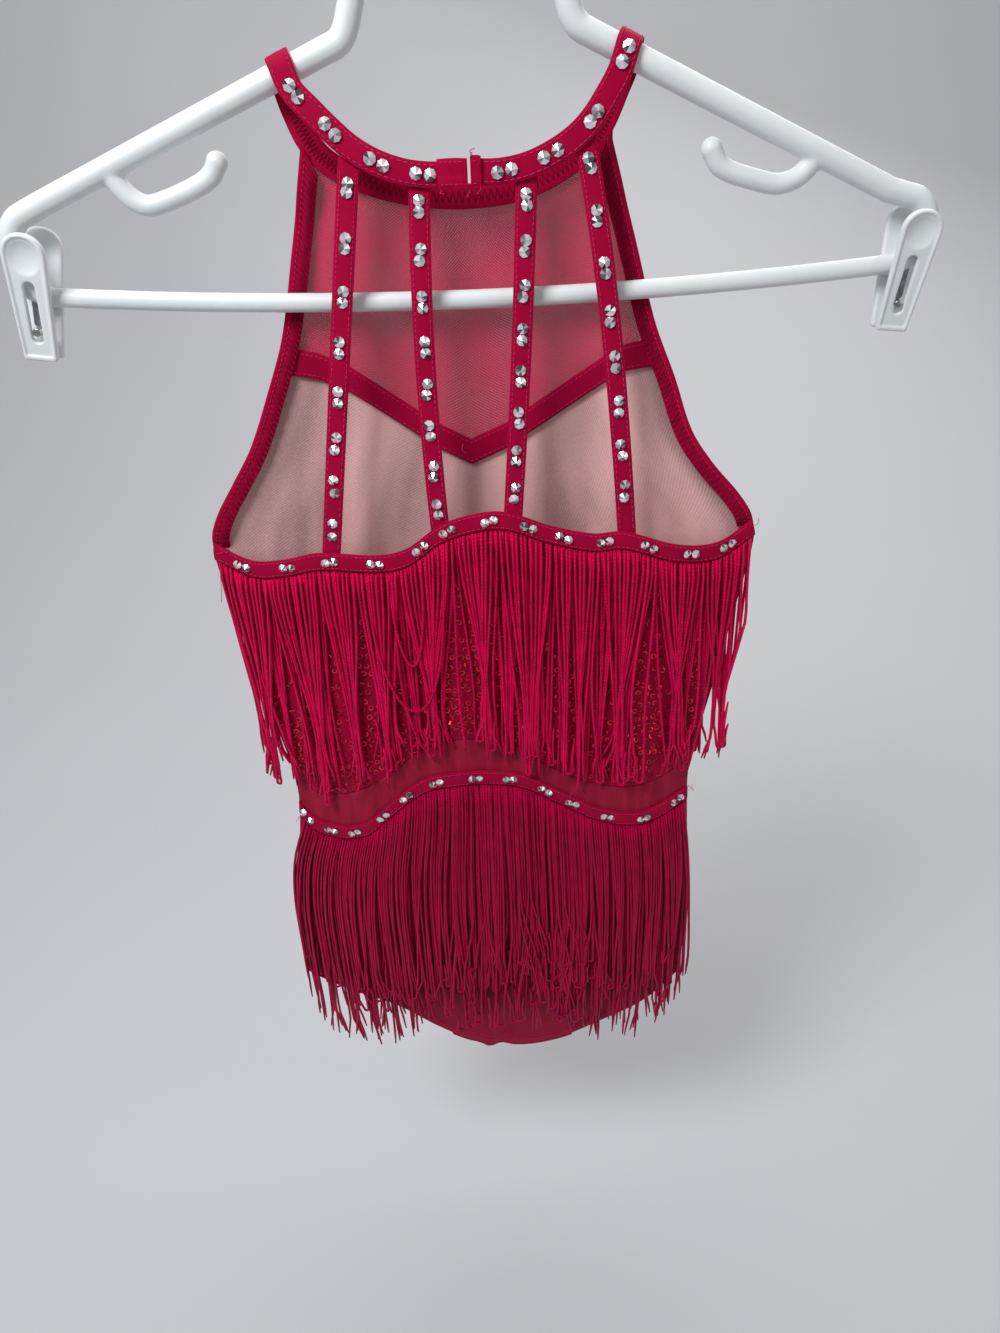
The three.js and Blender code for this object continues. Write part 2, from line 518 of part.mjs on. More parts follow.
/** A flat strip along points, its width across the run and, over an arm, along that arm. */
function neckbandStrip() {
  const points = NECKBAND.map(neckbandPoint);
  const curve = new THREE.CatmullRomCurve3(points, false, 'centripetal');
  const perRow = 2;
  const steps = (NECKBAND.length - 1) * perRow;
  const last = new THREE.Vector3(0, 0, 1);
  const sameWay = (vector) => (vector.dot(last) < 0 ? vector.negate() : vector);
  return loft(Array.from({ length: steps + 1 }, (_, i) => {
    const [point, run] = [curve.getPoint(i / steps), curve.getTangent(i / steps)];
    const row = i / perRow;
    const hold = (index) => NECKBAND[index].arm ?? (NECKBAND[index].overArm === undefined ? 0 : 1);
    const held = mix(hold(Math.floor(row)), hold(Math.ceil(row)), row % 1);
    const slope = armSlope(point.x < 0 ? ARM_LEFT : ARM_RIGHT);
    const alongArm = sameWay(new THREE.Vector3(1, 0, slope).normalize());
    const flat = sameWay(new THREE.Vector3(run.z, 0, -run.x).normalize());
    const width = flat.lerp(alongArm, held).normalize();
    last.copy(width);
    const across = run.clone().cross(width).normalize();
    return [[-1, -1], [1, -1], [1, 1], [-1, 1]].map(([wide, thick]) => point.clone()
      .addScaledVector(width, (wide * NECKBAND_WIDTH) / 2)
      .addScaledVector(across, (thick * BAND) / 2).toArray());
  }));
}
add(garment, 'neckband', neckbandStrip(), RED);

/** A flat plate with its faces across y. */
function plate(left, right, low, high, y, thick) {
  return loft([left, right].map((x) => [
    [x, y - thick / 2, low], [x, y - thick / 2, high], [x, y + thick / 2, high], [x, y + thick / 2, low],
  ]));
}
const CLOSURE_Y = NECKBAND_BACK_Y - BAND - SEAM;
const CLOSURE = { low: -36.4, high: -25.2, tab: -13.5, end: -0.9, loopStart: 1.2, loopEnd: 6.4 };
// The loop's narrow tongue lies over the tab along its lower edge, on a post at the loop's start.
const TONGUE = { low: -37, high: -35.2, left: -6, thick: 1, post: 2, postY: -1.4, postThick: 2.2 };
add(garment, 'closure_tab', plate(CLOSURE.tab, CLOSURE.end, CLOSURE.low, CLOSURE.high, CLOSURE_Y, BAND), RED);
add(garment, 'closure_loop', joined([
  plate(CLOSURE.loopStart, CLOSURE.loopEnd, CLOSURE.low, CLOSURE.high + 0.8, CLOSURE_Y, BAND),
  plate(TONGUE.left, CLOSURE.loopStart + 1, TONGUE.low, TONGUE.high, CLOSURE_Y - BAND - SEAM, TONGUE.thick),
  plate(
    CLOSURE.loopStart - 0.5, CLOSURE.loopStart - 0.5 + TONGUE.post, TONGUE.low, TONGUE.high,
    CLOSURE_Y + TONGUE.postY, TONGUE.postThick,
  ),
]), RED);

STRAPS.forEach((strap, number) => {
  const above = (x) => backBandTop(x) - TUCK + STRAP_CLEAR;
  const endZ = above(strap.bottom);
  const run = new THREE.QuadraticBezierCurve(
    new THREE.Vector2(strap.top.x, strap.top.z),
    new THREE.Vector2(
      2 * strap.middle.x - (strap.top.x + strap.bottom) / 2, 2 * strap.middle.z - (strap.top.z + endZ) / 2,
    ),
    new THREE.Vector2(strap.bottom, endZ),
  );
  const steps = 10;
  const strip = loft(Array.from({ length: steps + 1 }, (_, i) => {
    const t = i / steps;
    const { x, y: z } = run.getPoint(t);
    const tilt = t === 1 || t === 0 ? new THREE.Vector2(0, -1) : run.getTangent(t);
    return [[-1, -1], [1, -1], [1, 1], [-1, 1]].map(([wide, thick]) => {
      const px = x - (wide * tilt.y * STRAP_WIDTH) / 2;
      const pz = t === 1 ? above(px) : Math.max(z + (wide * tilt.x * STRAP_WIDTH) / 2, above(px));
      const slack = Math.sin(Math.PI * t) * STRAP_SLACK;
      const lower = Math.min(pz, backBandTop(px) + 2);
      return [px, mix(STRAP_TOP_Y, backY(px, lower), t) - slack + (thick * CLOTH) / 2, pz];
    });
  }));
  add(garment, `back_strap_${number + 1}`, strip, RED);
});

// ---- fringes -------------------------------------------------------------------------------------
const TAPE_OUT = CLOTH / 2 + SEAM + TAPE / 2;             // the tape's middle over the panel's middle

/** One tier: a heading tape under its band, with its strands hanging from it. */
function fringe({ bandTop, ends, spread, plumbFrom }) {
  const tapeTop = lowered(bandTop, BAND_HEIGHT + 2 * SEAM);
  const tape = panel({
    surface: backY, top: tapeTop, bottom: lowered(tapeTop, TAPE_HEIGHT), columns: BAND_COLUMNS, rows: 1,
    wall: TAPE, out: TAPE_OUT, sideIn: 1.2,
  });
  const [left, right] = [-1, 1].map((side) => {
    const z = cornerHeight(tapeTop, side);
    return side * ((side < 0 ? widthLeft(z) : widthRight(z)) - 2.6);
  });
  const strands = Array.from({ length: STRANDS_PER_TIER }, (_, i) => {
    const home = mix(left, right, i / (STRANDS_PER_TIER - 1));
    const root = tapeTop(home) - TAPE_HEIGHT + STRAND_INTO_TAPE;
    const end = smooth(ends, 'x', 'z', home * spread(home, ends[0].z) / spread(home, root));
    const tip = end + TIP_SCATTER.high + scatter(i, 1) * TIP_SCATTER.range;
    const lean = LEANS.reduce((sum, { reach, wave, start }) => (
      sum + reach * Math.sin(home / wave + start)
    ), 0);
    const layer = i % 2 ? STRAND_LAYER : 0;
    const steps = [0, 0.3, 0.65, 1];
    return loft(steps.map((t) => {
      const z = mix(root, tip, t);
      const x = home * (spread(home, z) / spread(home, root)) + lean * t * t;
      const over = backY(x, Math.max(z, plumbFrom), TAPE_OUT + (t > 0 ? STRAND_PROUD + layer : 0));
      const girth = (STRAND / Math.sqrt(3)) * (t === 1 ? 0.7 : 1);
      return [90, 210, 330].map((turn) => [
        x + girth * Math.cos(radians(turn)), over - girth * Math.sin(radians(turn)) * 0.9, z,
      ]);
    }));
  });
  return joined([tape, ...strands]);
}
add(garment, 'fringe_upper', fringe({
  bandTop: backBandTop, ends: UPPER_ENDS, spread: () => 1, plumbFrom: UPPER_FULLEST,
}), FRINGE);
add(garment, 'fringe_lower', fringe({
  bandTop: hipBandTop, ends: LOWER_ENDS, plumbFrom: SEAT_FULLEST,
  spread: (x, z) => smooth(SEAT_SPREAD, 'z', x < 0 ? 'left' : 'right', z),
}), FRINGE);

// ---- hanger --------------------------------------------------------------------------------------
/** Points of a circular bend in the plane y = 0, from one angle to another. */
const bend = (x, z, radius, from, to, steps) => Array.from({ length: steps + 1 }, (_, i) => {
  const turn = radians(mix(from, to, i / steps));
  return { x: x + radius * Math.cos(turn), z: z + radius * Math.sin(turn) };
});
const FRAME_CORNER = 12;
const leftEnd = { x: ARM_LEFT.outer.x + 1.5, z: -58 };
const rightEnd = { x: ARM_RIGHT.outer.x - 1.5, z: -62 };
const INTO_BEND = 4;            // how far the bar runs into the frame's bottom bends
const frameLoop = [
  ...bend(leftEnd.x, leftEnd.z - 5, FRAME_CORNER, 265, 185, 4),
  ...bend(leftEnd.x, leftEnd.z + 5.5, FRAME_CORNER, 185, 120, 4),
  { x: -190, z: armHeight(-190) }, { x: -125, z: armHeight(-125) }, ...NECK_ARCH,
  { x: 122, z: armHeight(122) },
  { x: 188, z: armHeight(188) }, ...bend(rightEnd.x, rightEnd.z + 3, FRAME_CORNER, 58, -5, 4),
  ...bend(rightEnd.x, rightEnd.z - 1, FRAME_CORNER, -5, -85, 4),
];
const bar = Array.from({ length: 9 }, (_, i) => {
  const t = i / 8;
  return {
    x: mix(leftEnd.x - INTO_BEND, rightEnd.x + INTO_BEND, t),
    z: mix(BAR_MIDDLE_Z, BAR_ENDS_Z, (2 * t - 1) ** 2),
  };
});
const hook = [
  { x: 0, z: HOOK.post }, { x: 0, z: HOOK.middle - HOOK.radius - 6 },
  ...bend(0, HOOK.middle, HOOK.radius, -78, HOOK.sweep - 90, 12),
];
add(hanger, 'hanger_frame', joined([
  rod(frameLoop, ARM_RADIUS), rod(bar, BAR_RADIUS), rod(hook, HOOK.wire),
  ...STRAP_HOOKS.map((points) => rod(points, STRAP_HOOK_RADIUS)),
]), WHITE_PLASTIC);

/** Outline of a clip's jaw, seen along y, with its slot. */
function jawShape() {
  const [half, foot] = [JAW.top / 2, JAW.bottom / 2];
  const shape = new THREE.Shape();
  shape.moveTo(-foot, -JAW.height / 2);
  shape.lineTo(foot, -JAW.height / 2);
  shape.lineTo(half, JAW.height / 2 - half);
  shape.absarc(0, JAW.height / 2 - half, half, 0, Math.PI, false);
  shape.lineTo(-foot, -JAW.height / 2);
  const slot = new THREE.Path();
  const low = -JAW.height / 2 + 12;
  slot.moveTo(-JAW.slot / 2, low);
  slot.lineTo(-JAW.slot / 2, low + JAW.slotLength);
  slot.absarc(0, low + JAW.slotLength, JAW.slot / 2, Math.PI, 0, true);
  slot.lineTo(JAW.slot / 2, low);
  slot.absarc(0, low, JAW.slot / 2, 0, -Math.PI, true);
  shape.holes.push(slot);
  return shape;
}

for (const clip of CLIPS) {
  const holder = new THREE.Group();
  holder.position.set(clip.x, 0, clip.z);
  holder.rotation.y = radians(clip.lean);
  holder.scale.setScalar(clip.scale);
  hanger.add(holder);
  const tilt = Math.atan2(JAW.openTop - JAW.openBottom, JAW.height);
  for (const [face, name] of [[-1, 'front'], [1, 'back']]) {
    const solid = new THREE.ExtrudeGeometry(jawShape(), {
      depth: JAW.thick, bevelEnabled: false, curveSegments: 6,
    });
    const jaw = add(holder, `clip_${clip.side}_${name}`, solid, WHITE_PLASTIC);
    // The plate is drawn in x and y and stands up; its thickness then runs towards -y.
    jaw.rotation.set(Math.PI / 2 - face * tilt, 0, 0);
    jaw.position.y = face * ((JAW.openTop + JAW.openBottom) / 2) + (face > 0 ? JAW.thick : 0);
  }
  const pin = new THREE.CylinderGeometry(PIN.radius, PIN.radius, PIN.length, 12);
  add(holder, `clip_pin_${clip.side}`, pin, STEEL).position.set(0, 0, -JAW.height / 2 + PIN.fromBottom);
}

const unitardOnHanger = new THREE.Group();
unitardOnHanger.add(garment, hanger);
export default unitardOnHanger;
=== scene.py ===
"""A child's halter-neck dance unitard with two tiers of fringe, hung by its neckband on a clip hanger.

The tables are in millimetres, with heights from the garment's neck level, and each mesh is made in
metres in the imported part's frame: the origin is the inside top of the hanger's hook, +Z is up and
the back of the garment faces -Y.
"""
import logging
import math
import random
from bisect import bisect_left
from contextlib import contextmanager
from dataclasses import dataclass, field
from enum import Enum
from functools import cache
from typing import Callable, Iterator, NamedTuple, Sequence

import bpy
from mathutils import Matrix, Vector


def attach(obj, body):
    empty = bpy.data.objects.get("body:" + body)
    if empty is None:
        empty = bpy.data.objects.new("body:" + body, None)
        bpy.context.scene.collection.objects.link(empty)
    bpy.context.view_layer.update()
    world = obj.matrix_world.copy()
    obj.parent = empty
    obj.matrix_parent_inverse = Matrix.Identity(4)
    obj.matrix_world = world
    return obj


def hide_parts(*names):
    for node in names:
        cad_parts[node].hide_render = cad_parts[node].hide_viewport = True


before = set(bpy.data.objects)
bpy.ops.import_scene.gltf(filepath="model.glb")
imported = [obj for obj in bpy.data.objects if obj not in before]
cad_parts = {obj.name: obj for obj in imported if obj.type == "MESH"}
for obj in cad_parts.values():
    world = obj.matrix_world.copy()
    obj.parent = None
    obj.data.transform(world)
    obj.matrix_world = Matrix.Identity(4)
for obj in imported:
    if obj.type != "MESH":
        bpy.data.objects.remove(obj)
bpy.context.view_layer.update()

log = logging.getLogger("unitard")

# ---- driving sizes, in millimetres ----
MM = 0.001
HOOK_RISE = 124.5
CLOTH = 1.2
THIN = 1.0
BAND = 1.4
SEAM = 0.35
STRAP_WIDTH = 9.5
NECKBAND_WIDTH = 10.5
BAND_HEIGHT = 9.5
V_BAND_WIDTH = 11.0
BINDING_WIDTH = 8.5
SIDE_OFFSET = 0.85
TUCK = 5.0
FRONT_WAIST = -372.0
OVER_CLOTH = CLOTH / 2 + SEAM + BAND / 2
LINING_IN = -(CLOTH / 2 + 2 * SEAM + THIN / 2)
BAND_IN = LINING_IN - THIN / 2 - 2 * SEAM - BAND / 2
RIM_SHARE = 0.3
RIM_ANGLE = 60
NEAR = 1e-6
NO_TURN = 1e-5
LENGTH_STEPS = 60
HEIGHT_STEPS = 30

Edge = Callable[[float], float]
Spot = tuple[float, float]
Place = tuple[float, float, float]
Colour = tuple[float, float, float]
Piece = bpy.types.Object
Socket = bpy.types.NodeSocket


def mix(low: float, high: float, share: float) -> float:
    """Value between low and high."""
    return low + (high - low) * share


def ease(share: float) -> float:
    """A smooth step from 0 to 1."""
    held = min(1.0, max(0.0, share))
    return held * held * (3 - 2 * held)


def shares(steps: int) -> list[float]:
    """Even shares from 0 to 1, in so many steps."""
    return [i / steps for i in range(steps + 1)]


def dome(share: float) -> float:
    """1 in the middle of a width and 0 at its two edges."""
    return 1 - (2 * share - 1) ** 2


def in_frame(x: float, y: float, z: float) -> Vector:
    """A place in millimetres from the neck level, as metres in the part's frame."""
    return Vector((x, y, z - HOOK_RISE)) * MM


# ---- curves through tables ----
class Smooth:
    """A smooth curve through rows of (place, value), level beyond its ends."""

    def __init__(self, *rows: Spot) -> None:
        """Keeps the rows in order of place, with the slope at each."""
        self.rows = sorted(rows)
        self.places = [row[0] for row in self.rows]
        last = len(self.rows) - 1
        around = [(self.rows[max(i - 1, 0)], self.rows[min(i + 1, last)]) for i in range(last + 1)]
        self.slopes = [(high[1] - low[1]) / (high[0] - low[0]) for low, high in around]

    def __call__(self, at: float) -> float:
        """Value of the curve.

        Args:
            at: The place along the table.

        Returns:
            The value there.
        """
        following = bisect_left(self.places, at)
        if following == 0:
            return self.rows[0][1]
        if following == len(self.rows):
            return self.rows[-1][1]
        before, after = self.rows[following - 1], self.rows[following]
        span = after[0] - before[0]
        t = (at - before[0]) / span
        t2, t3 = t * t, t * t * t
        return (
            (2 * t3 - 3 * t2 + 1) * before[1] + (t3 - 2 * t2 + t) * span * self.slopes[following - 1]
            + (3 * t2 - 2 * t3) * after[1] + (t3 - t2) * span * self.slopes[following]
        )


class Straight(Smooth):
    """The same with straight lines between the rows."""

    def __call__(self, at: float) -> float:
        """Value on the straight lines.

        Args:
            at: The place along the table.

        Returns:
            The value there.
        """
        held = min(max(at, self.rows[0][0]), self.rows[-1][0])
        for before, after in zip(self.rows, self.rows[1:]):
            if held <= after[0]:
                return mix(before[1], after[1], (held - before[0]) / (after[0] - before[0]))
        return self.rows[-1][1]


def lowered(edge: Edge, by: float) -> Edge:
    """The same edge further down."""
    return lambda x: edge(x) - by


def level(z: float) -> Edge:
    """An edge at one height."""
    return lambda x: z


# ---- the garment's outlines ----
HALF_LEFT = Smooth(
    (-600, 132), (-512, 134), (-461, 134), (-430, 131), (-395, 123), (-355, 120), (-300, 129), (-250, 137),
    (-209, 142.5), (-198, 141), (-185, 135.5), (-169, 125), (-152, 114), (-125, 101.5), (-99, 91), (-60, 81),
    (-21, 72),
)
HALF_RIGHT = Smooth(
    (-600, 119), (-512, 121), (-461, 122), (-430, 121), (-395, 118), (-355, 117), (-300, 127), (-250, 136),
    (-209, 142.5), (-198, 139.5), (-185, 131), (-169, 117), (-152, 105.5), (-125, 95.5), (-99, 85), (-60, 74),
    (-21, 63),
)
FRONT_EDGE = Smooth((-209, 0), (-185, 2.4), (-150, 5.6), (-100, 8.4), (-60, 9.2), (-15, 9.4))
FRONT_CROWN = Smooth(
    (-600, 4.5), (-560, 8), (-500, 12), (-420, 14), (-355, 12), (-300, 13), (-209, 12), (-185, 9.8),
    (-150, 6.6), (-100, 2.8), (-60, 1), (-15, 0.2),
)
BACK_CROWN = Smooth(
    (-600, 4.5), (-560, 9.5), (-520, 14), (-470, 17), (-400, 15), (-355, 14.3), (-300, 14.8), (-209, 14),
    (-185, 13),
)
BACK_BAND_TOP = Smooth(
    (-141, -200), (-122, -208.5), (-105, -207.5), (-86, -203.5), (-55, -205), (-40, -202), (-22, -190),
    (-3, -184.5), (12, -184.5), (34, -192.5), (56, -198), (72, -198), (100, -207.5), (122, -208.5),
    (141, -198),
)
HIP_BAND_TOP = Smooth(
    (-122, -365), (-114, -378), (-96, -383.5), (-79, -379.5), (-58, -360.5), (-40, -347), (-20, -343),
    (0, -343), (18, -347), (45, -364), (66, -376), (90, -381), (118, -369),
)
SEQUIN_EDGE = Smooth(
    (-121, -350), (-104, -360), (-86, -359), (-62, -345), (-38, -326), (-16, -321), (10, -325), (34, -344),
    (60, -357), (88, -362), (118, -350),
)
LEG_EDGE = Smooth(
    (-134, -514), (-108, -526), (-74, -541), (-46, -566), (-24, -582), (10, -589), (38, -583), (66, -567),
    (96, -550), (121, -526),
)
NECKLINE = Smooth(
    (-74, -20), (-64, -24.5), (-52, -31.5), (-36, -37), (-18, -40.5), (0, -41.5), (18, -40), (34, -35.5),
    (48, -28.5), (58, -22), (65, -18),
)
V_LINE = Straight(
    (-97, -109.5), (-77, -114), (-64, -120), (-21, -151.5), (-4.5, -160.5), (14, -152.5), (62, -121.5),
    (73, -115.5), (95, -112),
)
V_TIP = -4.5
GUSSET_LEFT, GUSSET_RIGHT, GUSSET_SAG = -38.0, 46.0, 0.55


@dataclass(frozen=True)
class Fold:
    """One soft fold of the cloth: it stands out (+) or in (-), and may lean to one side on its way down."""

    x: float
    depth: float
    half: float
    high: float
    low: float
    lean: float = 0.0

    def height(self, x: float, z: float) -> float:
        """How far the cloth is moved at a place.

        Args:
            x: The place across the garment.
            z: Its height.

        Returns:
            The distance outwards.
        """
        along = (z - (self.high + self.low) / 2) / ((self.high - self.low) / 2)
        if abs(along) >= 1:
            return 0.0
        across = (x - self.x - self.lean * along) / self.half
        return self.depth * math.exp(-across * across) * (1 - along * along) ** 2


def folds(*rows: tuple[float, ...]) -> tuple[Fold, ...]:
    """Folds from rows of their sizes."""
    return tuple(Fold(*row) for row in rows)


FRONT_FOLDS = folds(
    (-98, -2.2, 13, -140, -330), (-66, 2.4, 17, -120, -340), (-38, -1.8, 15, -150, -300),
    (30, 1.6, 18, -160, -330), (72, -2.4, 15, -125, -320), (104, 2, 14, -170, -350),
    (-50, 2, 24, -400, -560), (48, 2, 26, -390, -560),
    # Smaller creases, made on the look model alone.
    (-18, 0.8, 6, -170, -290, 5), (8, -0.7, 7, -180, -330, -4), (48, 0.7, 6, -150, -270, 6),
    (-82, 0.8, 6, -180, -300, -5), (88, 0.7, 5, -160, -280, 7), (-110, 0.6, 6, -220, -350, 8),
    (0, -0.9, 9, -390, -480, 12), (-72, 0.7, 7, -385, -470, -10), (76, 0.8, 8, -380, -480, 9),
    (22, 0.7, 7, -440, -560, -9), (-28, 0.6, 6, -450, -570, 7), (100, -0.8, 8, -400, -500, -6),
)
BACK_FOLDS = folds(
    (-84, 1.6, 16, -300, -400), (-52, -1.4, 15, -290, -390), (8, -1.6, 22, -420, -580),
    (70, 1.4, 18, -300, -400),
    (-30, 0.6, 6, -230, -340, 4), (24, -0.6, 7, -220, -330, -5), (94, 0.6, 7, -240, -360, 6),
    (-100, -0.6, 6, -240, -350, -3), (-40, 0.7, 9, -430, -560, 8), (52, 0.7, 9, -420, -560, -8),
    # The doubled cloth at the bottom of the brief.
    (-13, 2.4, 4.5, -530, -645, 6), (-3, -1.7, 5, -530, -645, 6),
    # Small gathers of the sheer inset above the hip band.
    *((x, depth, 3.6, -338, -440, lean) for x, depth, lean in (
        (-106, 0.9, 1), (-91, 0.7, -1), (-78, 1.0, 2), (-60, 0.6, 0), (-41, 0.8, 1), (-24, 0.7, -2),
        (14, 0.8, 1), (33, 0.7, 2), (55, 0.9, -1), (72, 0.8, 1), (88, 1.0, -2), (103, 0.8, 0))),
)
LINING_FOLDS = folds(
    (-104, 2.6, 5, -150, -330, 6), (-88, 2.0, 4, -140, -300, 4), (-58, 3.2, 6, -150, -330, -6),
    (-30, 2.2, 5, -165, -320, 3), (-10, 1.5, 3, -170, -330, 0), (18, 2.2, 6, -170, -310, 5),
    (46, 3.2, 5, -150, -330, 7), (66, 2.2, 5, -135, -300, 5), (92, 3.0, 5, -140, -330, 9),
    (110, 2.2, 4, -170, -340, 7),
)


class Body:
    """The flattened body of the garment: the middle surfaces of its front and back walls."""

    @staticmethod
    def half(side: int, z: float) -> float:
        """Half-width on the left (-1) or right (+1)."""
        return HALF_LEFT(z) if side < 0 else HALF_RIGHT(z)

    @staticmethod
    def fullness(x: float, z: float) -> float:
        """1 in the middle of a wall and 0 at its side edges."""
        return 1 - min(1.0, abs(x) / Body.half(-1 if x < 0 else 1, z)) ** 3

    @staticmethod
    def front(x: float, z: float, out: float = 0.0) -> float:
        """Depth of the front wall.

        Args:
            x: The place across the garment.
            z: Its height.
            out: How far the layer lies outside the wall's middle.

        Returns:
            The place along Y.
        """
        full = Body.fullness(x, z)
        moved = sum(fold.height(x, z) for fold in FRONT_FOLDS)
        return SIDE_OFFSET + FRONT_EDGE(z) + (FRONT_CROWN(z) + moved) * full + out

    @staticmethod
    def back(x: float, z: float, out: float = 0.0) -> float:
        """Place along Y of the back wall, or of a layer that lies out from its middle."""
        moved = sum(fold.height(x, z) for fold in BACK_FOLDS)
        return -SIDE_OFFSET - (BACK_CROWN(z) + moved) * Body.fullness(x, z) - out

    @staticmethod
    def corner(edge: Edge, side: int) -> float:
        """Height where an edge meets a side of the garment.

        Args:
            edge: The edge.
            side: -1 for the left side and 1 for the right one.

        Returns:
            The height.
        """
        z = edge(side * 100)
        for _ in range(12):
            z = edge(side * Body.half(side, z))
        return z


# ---- mesh helpers ----
def link(made: Piece) -> Piece:
    """Puts an object into the scene."""
    bpy.context.scene.collection.objects.link(made)
    return made


def shade(mesh: bpy.types.Mesh, smooth: bool = True) -> None:
    """Shades a whole mesh, smooth or flat."""
    mesh.polygons.foreach_set("use_smooth", [smooth] * len(mesh.polygons))


def measured(places: Sequence[Vector]) -> float:
    """Length of the line through places."""
    return sum((b - a).length for a, b in zip(places, places[1:]))


def leaning(about_x: float, about_y: float) -> Matrix:
    """A small lean about X and Y, in radians."""
    return Matrix.Rotation(about_x, 4, "X") @ Matrix.Rotation(about_y, 4, "Y")


def new_object(name: str, points: Sequence[Vector], faces: Sequence[tuple[int, ...]],
               uvs: Sequence[Spot] | None = None) -> Piece:
    """A smooth-shaded mesh object in the scene.

    Args:
        name: The piece's name.
        points: Its vertices, in metres in the part's frame.
        faces: Its faces, as rows of vertex numbers.
        uvs: One place on the flat pattern for each vertex, or none.

    Returns:
        The object.
    """
    mesh = bpy.data.meshes.new(name)
    mesh.from_pydata(points, [], faces)
    if uvs is not None:
        layer = mesh.uv_layers.new(name="pattern")
        for loop in mesh.loops:
            layer.data[loop.index].uv = uvs[loop.vertex_index]
    shade(mesh)
    mesh.update()
    return link(bpy.data.objects.new(name, mesh))


class Batch:
    """Many small solids gathered into one mesh."""

    def __init__(self) -> None:
        """Starts empty."""
        self.points: list[Vector] = []
        self.faces: list[tuple[int, ...]] = []
        self.uvs: list[Spot] = []
        self.facet_glints: list[float] = []
        self.tubes = 0

    def copy(self, master: bpy.types.Mesh, place: Matrix, facet_glints: Sequence[float] = ()) -> None:
        """Adds a copy of a master mesh.

        Args:
            master: The mesh.
            place: Where the copy goes.
            facet_glints: One tone for each of its faces, or none.
        """
        first = len(self.points)
        self.facet_glints += facet_glints
        self.points += [place @ vertex.co for vertex in master.vertices]
        self.uvs += [(vertex.co.x, vertex.co.y) for vertex in master.vertices]
        self.faces += [tuple(first + i for i in polygon.vertices) for polygon in master.polygons]

    def tube(self, path: Sequence[Vector], radius: float, sides: int, tip: float = 1.0) -> None:
        """Adds a thin round cord with closed ends.

        Args:
            path: Its middle line, in metres.
            radius: Its radius, in metres.
            sides: How many faces it has round it.
            tip: The share of its radius at its last point.
        """
        first = len(self.points)
        self.tubes += 1
        length = 0.0
        for index, point in enumerate(path):
            before, after = path[max(index - 1, 0)], path[min(index + 1, len(path) - 1)]
            run = (after - before).normalized()
            side = run.cross(Vector((0, 1, 0.01))).normalized()
            up = side.cross(run)
            length += (point - before).length
            girth = radius * (tip if index == len(path) - 1 else 1.0)
            for k in range(sides):
                turn = 2 * math.pi * k / sides
                self.points.append(point + (side * math.cos(turn) + up * math.sin(turn)) * girth)
                self.uvs.append((self.tubes + k / sides, length))
        for ring in range(len(path) - 1):
            for k in range(sides):
                a, b = first + ring * sides + k, first + ring * sides + (k + 1) % sides
                self.faces.append((a, a + sides, b + sides, b))
        self.faces.append(tuple(first + k for k in range(sides)))
        last = first + (len(path) - 1) * sides
        self.faces.append(tuple(last + k for k in reversed(range(sides))))

    def piece(self, name: str, smooth: bool = True) -> Piece:
        """The joined mesh as an object.

        Args:
            name: The piece's name.
            smooth: Whether it is shaded smooth.

        Returns:
            The object.
        """
        made = new_object(name, self.points, self.faces, self.uvs)
        shade(made.data, smooth)
        # On the stones, the face tone attribute holds painted reflections, dark or bright for each facet.
        if self.facet_glints:
            layer = made.data.attributes.new("tone", "FLOAT", "FACE")
            layer.data.foreach_set("value", self.facet_glints)
        return made


def clear_selection() -> None:
    """Leaves nothing selected."""
    bpy.ops.object.select_all(action="DESELECT")


def apply_modifiers(piece: Piece) -> None:
    """Applies each of a piece's modifiers in turn."""
    clear_selection()
    piece.select_set(True)
    bpy.context.view_layer.objects.active = piece
    for modifier in list(piece.modifiers):
        bpy.ops.object.modifier_apply(modifier=modifier.name)


def primitive(name: str, kind: str, scale: Sequence[float] = (1, 1, 1),
              **settings: object) -> Piece:
    """Adds a primitive with nothing else selected, and applies its place and scale.

    Args:
        name: Its name.
        kind: The primitive, as the operator's name has it.
        scale: Its scale along X, Y and Z.
        settings: What the operator takes besides.

    Returns:
        The piece, which is active.
    """
    clear_selection()
    getattr(bpy.ops.mesh, f"primitive_{kind}_add")(**settings)
    piece = bpy.context.object
    piece.name = piece.data.name = name
    piece.scale = scale
    bpy.ops.object.transform_apply(location=True, rotation=True, scale=True)
    return piece


@contextmanager
def editing() -> Iterator[None]:
    """Edit mode with all of the active piece selected, and object mode again afterwards."""
    bpy.ops.object.mode_set(mode="EDIT")
    bpy.ops.mesh.select_all(action="SELECT")
    yield
    bpy.ops.object.mode_set(mode="OBJECT")


@contextmanager
def picked(piece: Piece, kind: str, wanted: Callable[..., bool]) -> Iterator[None]:
    """Edit mode with only the wanted elements selected, and object mode again afterwards.

    Args:
        piece: The active piece.
        kind: "VERT" or "EDGE".
        wanted: Tells by a vertex's place, or by the places of an edge's two ends, if it is taken.
    """
    mesh = piece.data
    bpy.ops.object.mode_set(mode="EDIT")
    bpy.ops.mesh.select_mode(type=kind)
    bpy.ops.mesh.select_all(action="DESELECT")
    bpy.ops.object.mode_set(mode="OBJECT")
    if kind == "VERT":
        for vertex in mesh.vertices:
            vertex.select = wanted(vertex.co)
    else:
        for edge in mesh.edges:
            edge.select = wanted(*[mesh.vertices[i].co for i in edge.vertices])
    bpy.ops.object.mode_set(mode="EDIT")
    yield
    bpy.ops.mesh.select_mode(type="VERT")
    bpy.ops.object.mode_set(mode="OBJECT")


